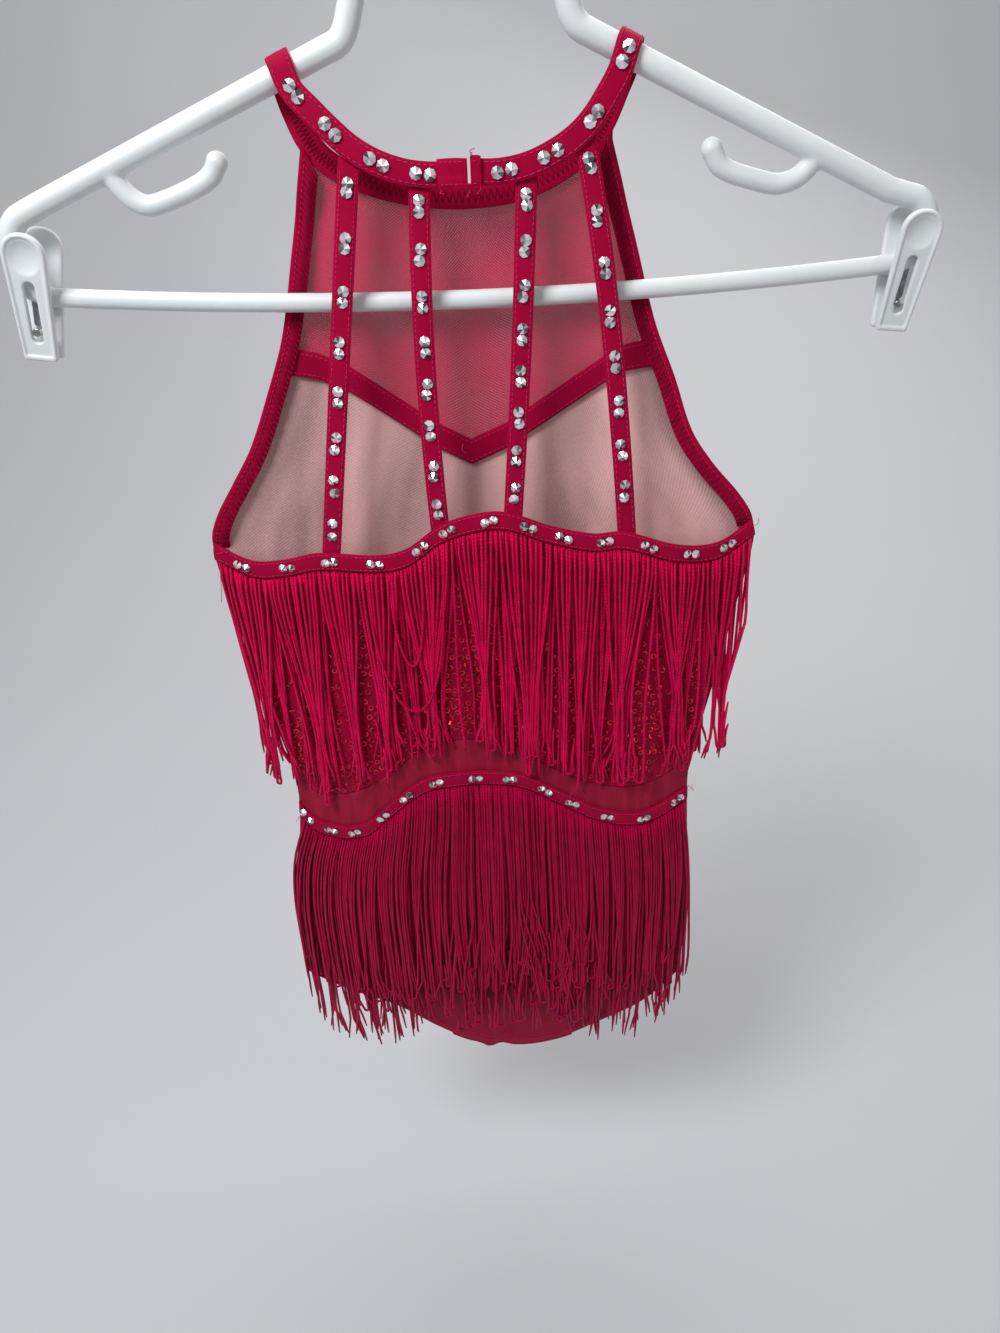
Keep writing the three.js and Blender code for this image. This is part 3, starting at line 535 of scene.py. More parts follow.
def round_edges(piece: Piece, width: float, segments: int, angle: float) -> None:
    """Adds a bevel to a piece's sharp edges.

    Args:
        piece: The piece.
        width: The bevel's width, in millimetres.
        segments: How many steps it has.
        angle: How sharp an edge has to be, in degrees.
    """
    rim = piece.modifiers.new("rim", "BEVEL")
    rim.width, rim.segments, rim.limit_method = width * MM, segments, "ANGLE"
    rim.angle_limit = math.radians(angle)


def mould(piece: Piece, voxel: float, rounds: int) -> None:
    """Fuses a piece into one even mesh and softens it, as a mould does.

    Args:
        piece: The piece.
        voxel: The size of the mesh's cells, in millimetres.
        rounds: How many times it is softened.
    """
    fuse = piece.modifiers.new("fuse", "REMESH")
    fuse.mode, fuse.voxel_size = "VOXEL", voxel * MM
    soften = piece.modifiers.new("soften", "SMOOTH")
    soften.factor, soften.iterations = 0.5, rounds
    apply_modifiers(piece)
    shade(piece.data)


def take_mesh(piece: Piece) -> bpy.types.Mesh:
    """Keeps a master's mesh and removes its object.

    Args:
        piece: The master, with its place in its mesh.

    Returns:
        The mesh.
    """
    mesh = piece.data.copy()
    bpy.data.objects.remove(piece)
    return mesh


def settle(piece: Piece, finish: "Palette", *nodes: str, slot: str | None = None) -> None:
    """Gives a finished piece its material and its body, and hides the CAD nodes that it stands for.

    Args:
        piece: The finished piece.
        finish: Its finish.
        nodes: The CAD nodes that it stands for.
        slot: Not used.
    """
    piece.data.materials.clear()
    piece.data.materials.append(finish.value.material())
    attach(piece, "root")
    if nodes:
        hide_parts(*nodes)
    log.info("%s: %d faces", piece.name, len(piece.data.polygons))


# ---- shader maths ----
class Value:
    """A number that varies over a surface; arithmetic on it adds Math nodes."""

    def __init__(self, shader: "Shader", socket: Socket) -> None:
        """Wraps an output socket."""
        self.shader, self.socket = shader, socket

    def _math(self, operation: str, *others: "Value | float", first: bool = True) -> "Value":
        """One Math node.

        Args:
            operation: The Math node's operation.
            others: The other inputs.
            first: Whether this value is the first input.

        Returns:
            The node's result.
        """
        order = [self, *others] if first else [*others, self]
        node = self.shader.node("ShaderNodeMath", {"operation": operation}, dict(enumerate(order)))
        return Value(self.shader, node.outputs[0])

    def __add__(self, other: "Value | float") -> "Value":
        """Sum."""
        return self._math("ADD", other)

    __radd__ = __add__

    def __sub__(self, other: "Value | float") -> "Value":
        """Difference."""
        return self._math("SUBTRACT", other)

    def __rsub__(self, other: float) -> "Value":
        """Difference from a number."""
        return self._math("SUBTRACT", other, first=False)

    def __mul__(self, other: "Value | float") -> "Value":
        """Product."""
        return self._math("MULTIPLY", other)

    __rmul__ = __mul__

    def __pow__(self, other: float) -> "Value":
        """Power."""
        return self._math("POWER", other)

    def sine(self) -> "Value":
        """Sine."""
        return self._math("SINE")

    def wave(self) -> "Value":
        """Sine, brought between 0 and 1."""
        return self.sine() * 0.5 + 0.5

    def size(self) -> "Value":
        """Absolute value."""
        return self._math("ABSOLUTE")

    def larger(self, other: "Value | float") -> "Value":
        """The larger of two."""
        return self._math("MAXIMUM", other)


class Shader:
    """Builds one material's nodes."""

    def __init__(self, name: str) -> None:
        """Starts a material with its surface shader."""
        self.made = bpy.data.materials.new(name)
        self.made.use_nodes = True
        self.tree = self.made.node_tree
        self.surface = self.tree.nodes["Principled BSDF"]

    def node(self, kind: str, settings: dict[str, object], inputs: dict[object, object]) -> bpy.types.Node:
        """Adds a node.

        Args:
            kind: The node's type.
            settings: Its settings, set first; "stops" fills a ramp with (place, colour) rows.
            inputs: Values or links by socket name or number.

        Returns:
            The node.
        """
        node = self.tree.nodes.new(kind)
        for key, value in settings.items():
            if key == "stops":
                self._stops(node, value)
            else:
                setattr(node, key, value)
        for key, value in inputs.items():
            self.feed(node.inputs[key], value)
        return node

    @staticmethod
    def _stops(node: bpy.types.Node, stops: Sequence[tuple[float, Colour]]) -> None:
        """Fills a colour ramp."""
        ramp = node.color_ramp
        while len(ramp.elements) < len(stops):
            ramp.elements.new(0.5)
        for element, (place, colour) in zip(ramp.elements, stops):
            element.position, element.color = place, (*colour, 1)

    def feed(self, socket: Socket, value: object) -> None:
        """Sets or links one input.

        Args:
            socket: The input.
            value: A number, a colour, a value or an output.
        """
        source = value.socket if isinstance(value, Value) else value
        if isinstance(source, Socket):
            self.tree.links.new(source, socket)
        else:
            socket.default_value = source

    def place(self, pattern: bool) -> Socket:
        """The piece's flat pattern, or its Object coordinates."""
        if pattern:
            return self.node("ShaderNodeUVMap", {"uv_map": "pattern"}, {}).outputs["UV"]
        return self.node("ShaderNodeTexCoord", {}, {}).outputs["Object"]

    def tone(self) -> Value:
        """The tone kept with each face, which on the stones is a painted reflection for each facet."""
        return Value(self, self.node("ShaderNodeAttribute", {"attribute_name": "tone"}, {}).outputs["Fac"])

    def axes(self, place: Socket) -> tuple[Value, Value, Value]:
        """The three parts of a place."""
        split = self.node("ShaderNodeSeparateXYZ", {}, {0: place})
        return tuple(Value(self, split.outputs[i]) for i in range(3))

    def stretched(self, place: Socket, across: float, along: float) -> Socket:
        """The pattern with its two directions scaled, for marks that run one way."""
        node = self.node("ShaderNodeVectorMath", {"operation": "MULTIPLY"}, {0: place, 1: (across, along, 1)})
        return node.outputs["Vector"]

    def noise(self, place: Socket, scale: float, detail: float = 3.0) -> Value:
        """Cloudy noise from 0 to 1; scale is its repeats in a metre."""
        node = self.node("ShaderNodeTexNoise", {}, {"Vector": place, "Scale": scale, "Detail": detail})
        return Value(self, node.outputs["Fac"])

    def ramp(self, value: Value, *stops: tuple[float, Colour]) -> Socket:
        """Colour by a value."""
        return self.node("ShaderNodeValToRGB", {"stops": stops}, {"Fac": value}).outputs["Color"]

    def bump(self, height: Value, distance: float, strength: float = 1.0) -> None:
        """Raises the surface.

        Args:
            height: The share of the distance, from 0 to 1.
            distance: How far it stands out at most, in millimetres.
            strength: How strongly it shows.
        """
        node = self.node("ShaderNodeBump", {}, {
            "Height": height, "Distance": distance * MM, "Strength": strength})
        self.feed(self.surface.inputs["Normal"], node.outputs["Normal"])

    def set(self, **inputs: object) -> None:
        """Feeds sockets of the surface; an underscore stands for a space."""
        for name, value in inputs.items():
            self.feed(self.surface.inputs[name.replace("_", " ")], value)


WARM_SHEEN = (1.0, 0.08, 0.24, 1.0)


def tinted(colour: Colour, by: float) -> Colour:
    """A lighter or darker colour."""
    return tuple(min(1.0, part * by) for part in colour)


@dataclass(frozen=True)
class Finish:
    """A finish; its material is made once, when it is first asked for."""

    name: str
    colour: Colour
    roughness: float

    def material(self) -> bpy.types.Material:
        """The finish's material."""
        found = bpy.data.materials.get(self.name)
        if found:
            return found
        shader = Shader(self.name)
        shader.set(Roughness=self.roughness, Base_Color=(*self.colour, 1))
        self.dress(shader)
        return shader.made

    def dress(self, shader: Shader) -> None:
        """Adds what varies over the surface."""

    def shades(self, shader: Shader, value: Value, *stops: Spot) -> Socket:
        """The finish's colour made darker or lighter by a value, through rows of (place, factor)."""
        return shader.ramp(value, *((place, tinted(self.colour, by)) for place, by in stops))


@dataclass(frozen=True)
class StretchCloth(Finish):
    """Matt stretch cloth: fine ribs along the pattern, cloudy tone, a little sheen, and painted shade in
    streaks along gathered folds where asked.
    """

    rib: float = 0.45
    sheen: float = 0.12
    painted_gather_shade: float = 0.0

    def dress(self, shader: Shader) -> None:
        """Ribs, cloudy colour, painted shade in streaks along gathered folds, and roughness."""
        pattern = shader.place(True)
        across, along, _ = shader.axes(pattern)
        wave = 2 * math.pi / (self.rib * MM)
        rib = (across * wave).wave()
        stitch = (along * (wave * 0.8) + across * (wave * 0.5)).wave()
        cloud = shader.noise(pattern, 38)
        fleck = shader.noise(pattern, 900, 2)
        # Painted shade: long streaks darken and lighten the colour along the sheer inset's gathered folds.
        gather = (shader.noise(shader.stretched(pattern, 1, 0.1), 120, 2) - 0.5) * 2.6 + 0.5
        tone = cloud * (0.75 - self.painted_gather_shade) + fleck * 0.25 + gather * self.painted_gather_shade
        shader.set(
            Base_Color=self.shades(shader, tone, (0.25, 0.8), (0.55, 1), (0.85, 1.22)),
            Roughness=cloud * 0.12 + (self.roughness - 0.06),
            Sheen_Weight=self.sheen, Sheen_Roughness=0.4, Sheen_Tint=WARM_SHEEN,
            Specular_IOR_Level=0.25, Specular_Tint=WARM_SHEEN)
        shader.bump(rib * 0.6 + stitch * 0.4 + cloud * 0.8, 0.12, 0.8)


@dataclass(frozen=True)
class Net(Finish):
    """Sheer net: threads crossing at an angle, with small see-through cells."""

    cell: float = 1.5
    cover: float = 0.66

    def dress(self, shader: Shader) -> None:
        """Threads, their thickness and the light through the cells."""
        pattern = shader.place(True)
        across, along, _ = shader.axes(pattern)
        wave = math.pi / (self.cell * MM)
        one = 1 - ((across + along) * wave).sine().size()
        two = 1 - ((across - along) * wave).sine().size()
        thread = one.larger(two) ** 1.4
        cloud = shader.noise(pattern, 25)
        shader.set(
            Base_Color=self.shades(shader, thread * 0.6 + cloud * 0.4, (0.1, 0.8), (0.8, 1.2)),
            Alpha=(thread - 0.5) * 0.4 + cloud * 0.2 + self.cover,
            Specular_IOR_Level=0.15, Specular_Tint=WARM_SHEEN)
        shader.bump(thread, 0.15, 0.6)


@dataclass(frozen=True)
class Knit(Finish):
    """Pale knitted lining with fine diagonal lines and painted light and shade along its soft folds."""

    line: float = 1.5

    def dress(self, shader: Shader) -> None:
        """Diagonal lines, faint spots, cloudy tone and painted shade in long streaks on the folds."""
        pattern = shader.place(True)
        across, along, _ = shader.axes(pattern)
        wave = 2 * math.pi / (self.line * MM)
        line = ((across * 0.8 + along) * wave).wave()
        cloud = shader.noise(pattern, 22)
        fleck = shader.noise(pattern, 700, 2)
        # Painted shade: long streaks darken and lighten the colour where the lining's soft folds catch light
        # and shade.
        painted_fold_shade = shader.noise(shader.stretched(pattern, 1, 0.2), 24, 2)
        tone = line * 0.06 + cloud * 0.15 + fleck * 0.09 + painted_fold_shade * 0.7
        shader.set(
            Base_Color=self.shades(shader, tone, (0.38, 0.55), (0.5, 1), (0.6, 1.35)),
            Sheen_Weight=0.1, Sheen_Roughness=0.5, Specular_IOR_Level=0.3)
        shader.bump(line * 0.5 + cloud * 0.5 + fleck * 0.4, 0.12, 0.7)


@dataclass(frozen=True)
class Cord(Finish):
    """Shiny chain-stitched fringe cord; its pattern runs round and along each cord."""

    pitch: float = 2.0

    def dress(self, shader: Shader) -> None:
        """Chain loops, painted light and shade on them, and a slow change of shade from cord to cord."""
        pattern = shader.place(True)
        round_it, along, _ = shader.axes(pattern)
        wave = 2 * math.pi / (self.pitch * MM)
        loop = (along * wave + round_it * 2 * math.pi).sine()
        back = (along * wave - round_it * 2 * math.pi).sine()
        chain = loop.larger(back) * 0.5 + 0.5
        shade = shader.noise(shader.place(False), 130, 2)
        own = shader.noise(pattern, 0.83, 1)
        # Painted light and shade: besides its bump, the chain pattern lightens the colour on each loop and
        # darkens it between the loops.
        shader.set(
            Base_Color=self.shades(shader, shade * 0.35 + own * 0.4 + chain * 0.25,
                                   (0.3, 0.4), (0.52, 1), (0.75, 1.4)),
            Sheen_Weight=0.12, Sheen_Roughness=0.35, Sheen_Tint=WARM_SHEEN,
            Specular_IOR_Level=0.45, Specular_Tint=WARM_SHEEN)
        shader.bump(chain, 0.5, 0.8)


@dataclass(frozen=True)
class Foil(Finish):
    """Small shiny metal or glass pieces, each a little different."""

    metal: float = 1.0
    spread: float = 0.3
    spots: float = 260.0

    def dress(self, shader: Shader) -> None:
        """Changes shade and gloss from piece to piece."""
        spot = shader.noise(shader.place(False), self.spots, 1)
        shader.set(
            Base_Color=self.shades(shader, spot, (0.3, 1 - self.spread), (0.5, 1), (0.7, 1 + self.spread)),
            Metallic=self.metal, Roughness=spot * 0.2 + (self.roughness - 0.08))


@dataclass(frozen=True)
class Facets(Finish):
    """Silver cut stones: every facet has a painted reflection of its own, dark or bright."""

    def dress(self, shader: Shader) -> None:
        """Dark and bright facets, as painted reflections."""
        tone = shader.tone()
        shader.set(
            Base_Color=self.shades(shader, tone, (0.1, 0.14), (0.42, 0.7), (0.8, 1.3)),
            Metallic=0.72, Roughness=tone * 0.1 + self.roughness)


@dataclass(frozen=True)
class Plastic(Finish):
    """Moulded plastic with a faint flow of shade, fine grain and a few scuffs."""

    def dress(self, shader: Shader) -> None:
        """Shade, gloss and grain."""
        place = shader.place(False)
        flow = shader.noise(place, 14)
        grain = shader.noise(place, 900, 2)
        scuff = shader.noise(place, 160, 6) ** 4
        shader.set(
            Base_Color=self.shades(shader, flow * 0.8 + scuff * 0.8, (0.25, 0.95), (0.7, 1.02)),
            Roughness=flow * 0.1 + scuff * 0.5 + (self.roughness - 0.06), Coat_Weight=0.08)
        shader.bump(grain * 0.5 + flow * 0.5, 0.05, 0.5)


class Palette(Enum):
    """The finishes of this garment and its hanger."""

    RED = StretchCloth("red stretch cloth", (0.37, 0.002, 0.038), 0.6)
    BAND_RED = StretchCloth("red folded band", (0.37, 0.002, 0.038), 0.56, rib=0.55)
    # The sheer inset has painted shade in long streaks along its gathered folds.
    SHEER = StretchCloth("sheer red inset", (0.34, 0.013, 0.043), 0.62, rib=0.8, painted_gather_shade=0.6)
    NET = Net("red net", (0.6, 0.014, 0.08), 0.7)
    # The lining's colour carries painted light and shade along its folds.
    LINING = Knit("pale lining", (0.67, 0.39, 0.385), 0.8)
    FRINGE = Cord("fringe cord", (0.6, 0.001, 0.066), 0.42)
    # Painted shade: the same cord as the upper fringe, darkened for the shade that the lower fringe hangs in.
    LOWER_FRINGE_IN_SHADE = Cord("lower fringe cord in painted shade", (0.38, 0.001, 0.046), 0.46)
    THREAD = Cord("red thread", (0.88, 0.04, 0.18), 0.5, pitch=0.6)
    # Partly painted shade: the neckband's inner zigzag is darker than the band, partly its own thread colour
    # and partly the shade inside the band.
    DARK_THREAD_IN_SHADE = Cord("dark red thread in painted shade", (0.27, 0.002, 0.03), 0.6, pitch=0.6)
    RIB = Cord("elastic ribs", (0.36, 0.003, 0.04), 0.55, pitch=0.8)
    SEQUIN = Foil("ring sequins", (0.75, 0.03, 0.06), 0.2, metal=0.7, spread=0.75, spots=300)
    # The stones' facets carry painted reflections.
    STONE = Facets("silver stones", (0.74, 0.74, 0.76), 0.1)
    PLASTIC = Plastic("white plastic", (0.72, 0.75, 0.76), 0.46)
    STEEL = Foil("spring steel", (0.55, 0.55, 0.54), 0.3)
    DARK_STEEL = Foil("dark spring strip", (0.3, 0.31, 0.33), 0.4, metal=0.5)


# ---- cloth pieces ----
def sewn(name: str) -> str:
    """Name of the look model's piece that stands for a node."""
    return f"{name}_sewn"


@dataclass(eq=False)
class Sheet:
    """A piece of cloth over a grid: s runs along or across it and t down it, both from 0 to 1."""

    name: str
    columns: int
    rows: int
    wall: float

    def point(self, s: float, t: float, out: float = 0.0) -> Place:
        """A place on the cloth's middle, moved outwards.

        Args:
            s: The share along the piece.
            t: The share down or across it.
            out: How far it is moved off the cloth, in millimetres.

        Returns:
            The place, in millimetres from the neck level.
        """
        raise NotImplementedError

    def at(self, s: float, t: float, out: float = 0.0) -> Vector:
        """The same place in metres in the part's frame."""
        return in_frame(*self.point(s, t, out))

    def stand(self, s: float, t: float, out: float) -> Matrix:
        """A place to stand something on the cloth.

        Args:
            s: The share along the piece.
            t: The share across it.
            out: How far above the cloth's middle, in millimetres.

        Returns:
            A matrix whose X runs along the piece and whose Z points off the cloth.
        """
        step = 0.002
        here = self.at(s, t, out)
        low, high = max(0.0, s - step), min(1.0, s + step)
        run = (self.at(high, t, out) - self.at(low, t, out)).normalized()
        off = self.at(s, t, out + 0.5) - here
        off = (off - run * off.dot(run)).normalized()
        across = off.cross(run)
        turned = Matrix((run, across, off)).transposed().to_4x4()
        turned.translation = here
        return turned

    @cache
    def length(self, t: float = 0.5) -> float:
        """Length along the piece, in metres."""
        return measured([self.at(s, t) for s in shares(LENGTH_STEPS)])

    @cache
    def height(self, s: float = 0.5) -> float:
        """Height down or width across the piece, in metres."""
        return measured([self.at(s, t) for t in shares(HEIGHT_STEPS)])

    def build(self) -> Piece:
        """The cloth as a thin shell with soft rims.

        Returns:
            The piece, before its material.
        """
        points, uvs = [], []
        for r in range(self.rows + 1):
            for c in range(self.columns + 1):
                s, t = c / self.columns, r / self.rows
                points.append(self.at(s, t))
                uvs.append((s * self.length(), t * self.height()))
        faces = []
        for r in range(self.rows):
            for c in range(self.columns):
                a = r * (self.columns + 1) + c
                faces.append((a, a + 1, a + self.columns + 2, a + self.columns + 1))
        piece = new_object(sewn(self.name), points, faces, uvs)
        shell = piece.modifiers.new("wall", "SOLIDIFY")
        shell.thickness, shell.offset = self.wall * MM, 0
        shell.use_even_offset = True
        round_edges(piece, self.wall * RIM_SHARE, 2, RIM_ANGLE)
        apply_modifiers(piece)
        return piece


class Wall(Enum):
    """Which wall of the garment a panel belongs to."""

    FRONT = "front"
    BACK = "back"


@dataclass(eq=False)
class Panel(Sheet):
    """A panel of one wall between two edges, from side seam to side seam."""

    face: Wall
    top: Edge
    bottom: Edge
    out: float = 0.0
    side_in: float = SEAM
    share: float = 1.0
    extra: tuple[Fold, ...] = ()
    puff: float = 0.0
    corners: list[Spot] = field(default_factory=list)

    def __post_init__(self) -> None:
        """Finds the heights of the four corners."""
        self.corners = [(Body.corner(self.top, side), Body.corner(self.bottom, side)) for side in (-1, 1)]

    def across(self, s: float, row: float) -> float:
        """Place across the garment at a row."""
        left = self.side_in - HALF_LEFT(mix(*self.corners[0], row))
        return mix(left, HALF_RIGHT(mix(*self.corners[1], row)) - self.side_in, s)

    def point(self, s: float, t: float, out: float = 0.0) -> Place:
        """A place on the panel.

        Args:
            s: The share from the left side to the right.
            t: The share down.
            out: How far it is moved outwards.

        Returns:
            The place, in millimetres.
        """
        down = t * self.share
        x = self.across(s, down)
        z = mix(self.top(self.across(s, 0)), self.bottom(self.across(s, 1)), down)
        raised = out + self.out + self.puff * dome(t)
        if self.face is Wall.BACK:
            return x, Body.back(x, z, raised), z
        inward = sum(fold.height(x, z) for fold in self.extra) * Body.fullness(x, z)
        return x, Body.front(x, z, raised - inward), z

    def share_at(self, x: float) -> float:
        """The share across at which the panel's top reaches a place x."""
        low, high = self.across(0, 0), self.across(1, 0)
        return (x - low) / (high - low)


@dataclass(eq=False)
class Strap(Sheet):
    """A narrow back strap from under the neckband to the back band."""

    top: Spot
    middle: Spot
    foot: float

    TOP_Y = -7.8
    CLEAR = 0.9
    SLACK = 1.2
    PUFF = 0.25
    SQUARE_END = 0.06

    def edge(self, x: float) -> float:
        """Lowest height that the strap reaches."""
        return BACK_BAND_TOP(x) - TUCK + self.CLEAR

    def point(self, s: float, t: float, out: float = 0.0) -> Place:
        """A place on the strap.

        Args:
            s: The share from its top to its foot.
            t: The share across it.
            out: How far it is moved towards the viewer.

        Returns:
            The place, in millimetres.
        """
        foot = (self.foot, self.edge(self.foot))
        bend = [2 * self.middle[i] - (self.top[i] + foot[i]) / 2 for i in (0, 1)]
        x, z = [
            (1 - s) ** 2 * self.top[i] + 2 * s * (1 - s) * bend[i] + s * s * foot[i] for i in (0, 1)
        ]
        run = Vector([
            2 * (1 - s) * (bend[i] - self.top[i]) + 2 * s * (foot[i] - bend[i]) for i in (0, 1)
        ]).normalized()
        square = 1 - ease(s / self.SQUARE_END) * ease((1 - s) / self.SQUARE_END)
        run = run.lerp(Vector((0, -1)), square).normalized()
        wide = (2 * t - 1) * STRAP_WIDTH / 2
        px, pz = x - wide * run.y, max(z + wide * run.x, self.edge(x - wide * run.y))
        if s == 1:
            pz = self.edge(px)
        lower = min(pz, BACK_BAND_TOP(px) + 2)
        depth = mix(self.TOP_Y, Body.back(px, lower), s) - math.sin(math.pi * s) * self.SLACK
        return px, depth - out - self.PUFF * dome(t), pz


@dataclass(eq=False)
class VBand(Sheet):
    """The V-shaped band inside the yoke's seam; its ends lie under the bindings."""

    UNDER_BINDING = 4.0
    PUFF = 0.2

    def point(self, s: float, t: float, out: float = 0.0) -> Place:
        """A place on the band; out is towards the inside of the garment.

        Args:
            s: The share from left to right.
            t: The share down.
            out: How far it is moved inwards.

        Returns:
            The place, in millimetres.
        """
        half = V_BAND_WIDTH / 2 / math.cos(math.atan2(32, 48))
        ends = []
        for side in (-1, 1):
            z = Body.corner(V_LINE, side)
            ends.append(side * (Body.half(side, z) - self.UNDER_BINDING))
        even = self.columns // 2 / self.columns
        x = mix(ends[0], V_TIP, s / even) if s <= even else mix(V_TIP, ends[1], (s - even) / (1 - even))
        z = V_LINE(x) + (1 - 2 * t) * half
        return x, Body.front(x, z, BAND_IN - out - self.PUFF * dome(t)), z


@dataclass(eq=False)
class Binding(Sheet):
    """An elastic binding inside one cut-in side of the front."""

    side: int
    top: Spot
    low: float = 0.0

    OUT = -1.0
    OVER_V_BAND = 1.5
    OVER_NECKBAND = 2.1
    END_IN = -0.9

    def __post_init__(self) -> None:
        """Ends it just behind the back band."""
        self.low = Body.corner(BACK_BAND_TOP, self.side) - 7

    def point(self, s: float, t: float, out: float = 0.0) -> Place:
        """A place on the binding, with out towards the inside of the garment.

        Args:
            s: The share from the top to the underarm.
            t: The share from its inner edge to its outer one.
            out: How far it is moved inwards.

        Returns:
            The place, in millimetres.
        """
        z = mix(mix(*self.top, t), self.low, s)
        run = Vector((Body.half(self.side, z - 2) - Body.half(self.side, z + 2), -4)).normalized()
        free = ease((z - self.low) / 14)
        reach = (1 - t) * BINDING_WIDTH + self.OUT * free
        x, height = self.side * (Body.half(self.side, z) + run.y * reach), z - run.x * reach
        held = self.side * min(abs(x), Body.half(self.side, height) - 0.01)
        over = max(self.OVER_V_BAND * ease((-45 - z) / 30) * ease((z - self.low) / 20),
                   self.OVER_NECKBAND * ease((z + 48) / 12))
        roll = 0.5 * math.exp(-((t - 0.86) / 0.12) ** 2)
        ripple = 0.22 * math.sin(s * 150) * (1 - t)
        inward = mix(self.END_IN, BAND_IN, free) - out - over - roll + ripple
        return x, Body.front(held, height, inward), height


class Gusset(Sheet):
    """The strip that closes the bottom between the leg openings."""

    def point(self, s: float, t: float, out: float = 0.0) -> Place:
        """A place on the gusset.

        Args:
            s: The share from left to right.
            t: The share from back to front.
            out: How far it is moved down and out.

        Returns:
            The place, in millimetres.
        """
        x = mix(GUSSET_LEFT, GUSSET_RIGHT, s)
        z = LEG_EDGE(x) - SEAM
        near, far = Body.back(x, z), Body.front(x, z)
        reach, turn = (far - near) / 2 + out, math.pi * t
        return x, (near + far) / 2 - reach * math.cos(turn), z - reach * GUSSET_SAG * math.sin(turn)


class Arm(NamedTuple):
    """One sloping arm of the hanger, from its inner end to its outer end."""

    inner: Spot
    outer: Spot

    @property
    def slope(self) -> float:
        """Rise for each step outwards along X."""
        return (self.outer[1] - self.inner[1]) / (self.outer[0] - self.inner[0])

    def height(self, x: float) -> float:
        """Height of the arm's middle at x."""
        return self.inner[1] + (x - self.inner[0]) * self.slope


ARM_LEFT = Arm((-59, 15.5), (-196, -40))
ARM_RIGHT = Arm((55, 18), (196, -49))
ARM_RADIUS = 5.5
BAR_RADIUS = 4.4
STRAP_HOOK_RADIUS = 4.6


def arm_at(x: float) -> Arm:
    """The arm on that side."""
    return ARM_LEFT if x < 0 else ARM_RIGHT


class Turn(NamedTuple):
    """A row of the neckband's line: a plain place, or an angle over an arm."""

    x: float
    z: float = 0.0
    y: float = 0.0
    arm: float = 0.0
    over: float | None = None


BACK_Y, FRONT_Y = -9.75, 6.6
NECKBAND_LINE = (
    *(Turn(x, z, BACK_Y) for x, z in (
        (-1.4, -30.8), (-15, -31.2), (-27, -29.6), (-39, -25.5), (-49, -19.6))),
    Turn(-57, -12.6, -9.3), Turn(-65, -4.6, -8.4), Turn(-72, 3, -7.4, 0.6),
    Turn(-75.6, over=-60), Turn(-77, over=-25), Turn(-77.6, over=10), Turn(-77.6, over=50),
    Turn(-76.6, 3, 6.9, 0.8), Turn(-73.6, -7, FRONT_Y, 0.3),
    *(Turn(x, z, FRONT_Y) for x, z in (
        (-69.4, -17), (-62.5, -25), (-52, -31.3), (-36, -37), (-18, -40.5), (0, -41.5), (18, -40),
        (34, -35.5), (47, -28.5), (55.5, -21.5), (61, -13))),
    Turn(66, -2, FRONT_Y, 0.3), Turn(69.8, 6.5, 6.9, 0.8),
    Turn(71.4, over=50), Turn(71.4, over=10), Turn(70.6, over=-25), Turn(69, over=-60),
    Turn(65.4, 5, -7.4, 0.6), Turn(60, -3.8, -8.4), Turn(54.3, -11.6, -9.3),
    *(Turn(x, z, BACK_Y) for x, z in ((47.4, -18.2), (38, -24), (26, -28.8), (14, -30.8), (2.4, -30.6))),
)


def curve_through(points: Sequence[Vector], share: float) -> Vector:
    """A centripetal curve through points.

    Args:
        points: What it goes through.
        share: The share along it, with each stretch counted alike.

    Returns:
        The place.
    """
    along = share * (len(points) - 1)
    first = min(int(along), len(points) - 2)
    t = along - first
    b, c = points[first], points[first + 1]
    a = points[first - 1] if first > 0 else b * 2 - c
    d = points[first + 2] if first + 2 < len(points) else c * 2 - b
    before, here, after = [max((q - p).length_squared ** 0.25, 1e-4) for p, q in ((a, b), (b, c), (c, d))]
    leave = ((b - a) / before - (c - a) / (before + here) + (c - b) / here) * here
    reach = ((c - b) / here - (d - b) / (here + after) + (d - c) / after) * here
    t2, t3 = t * t, t * t * t
    return b * (2 * t3 - 3 * t2 + 1) + c * (3 * t2 - 2 * t3) + leave * (t3 - 2 * t2 + t) + reach * (t3 - t2)


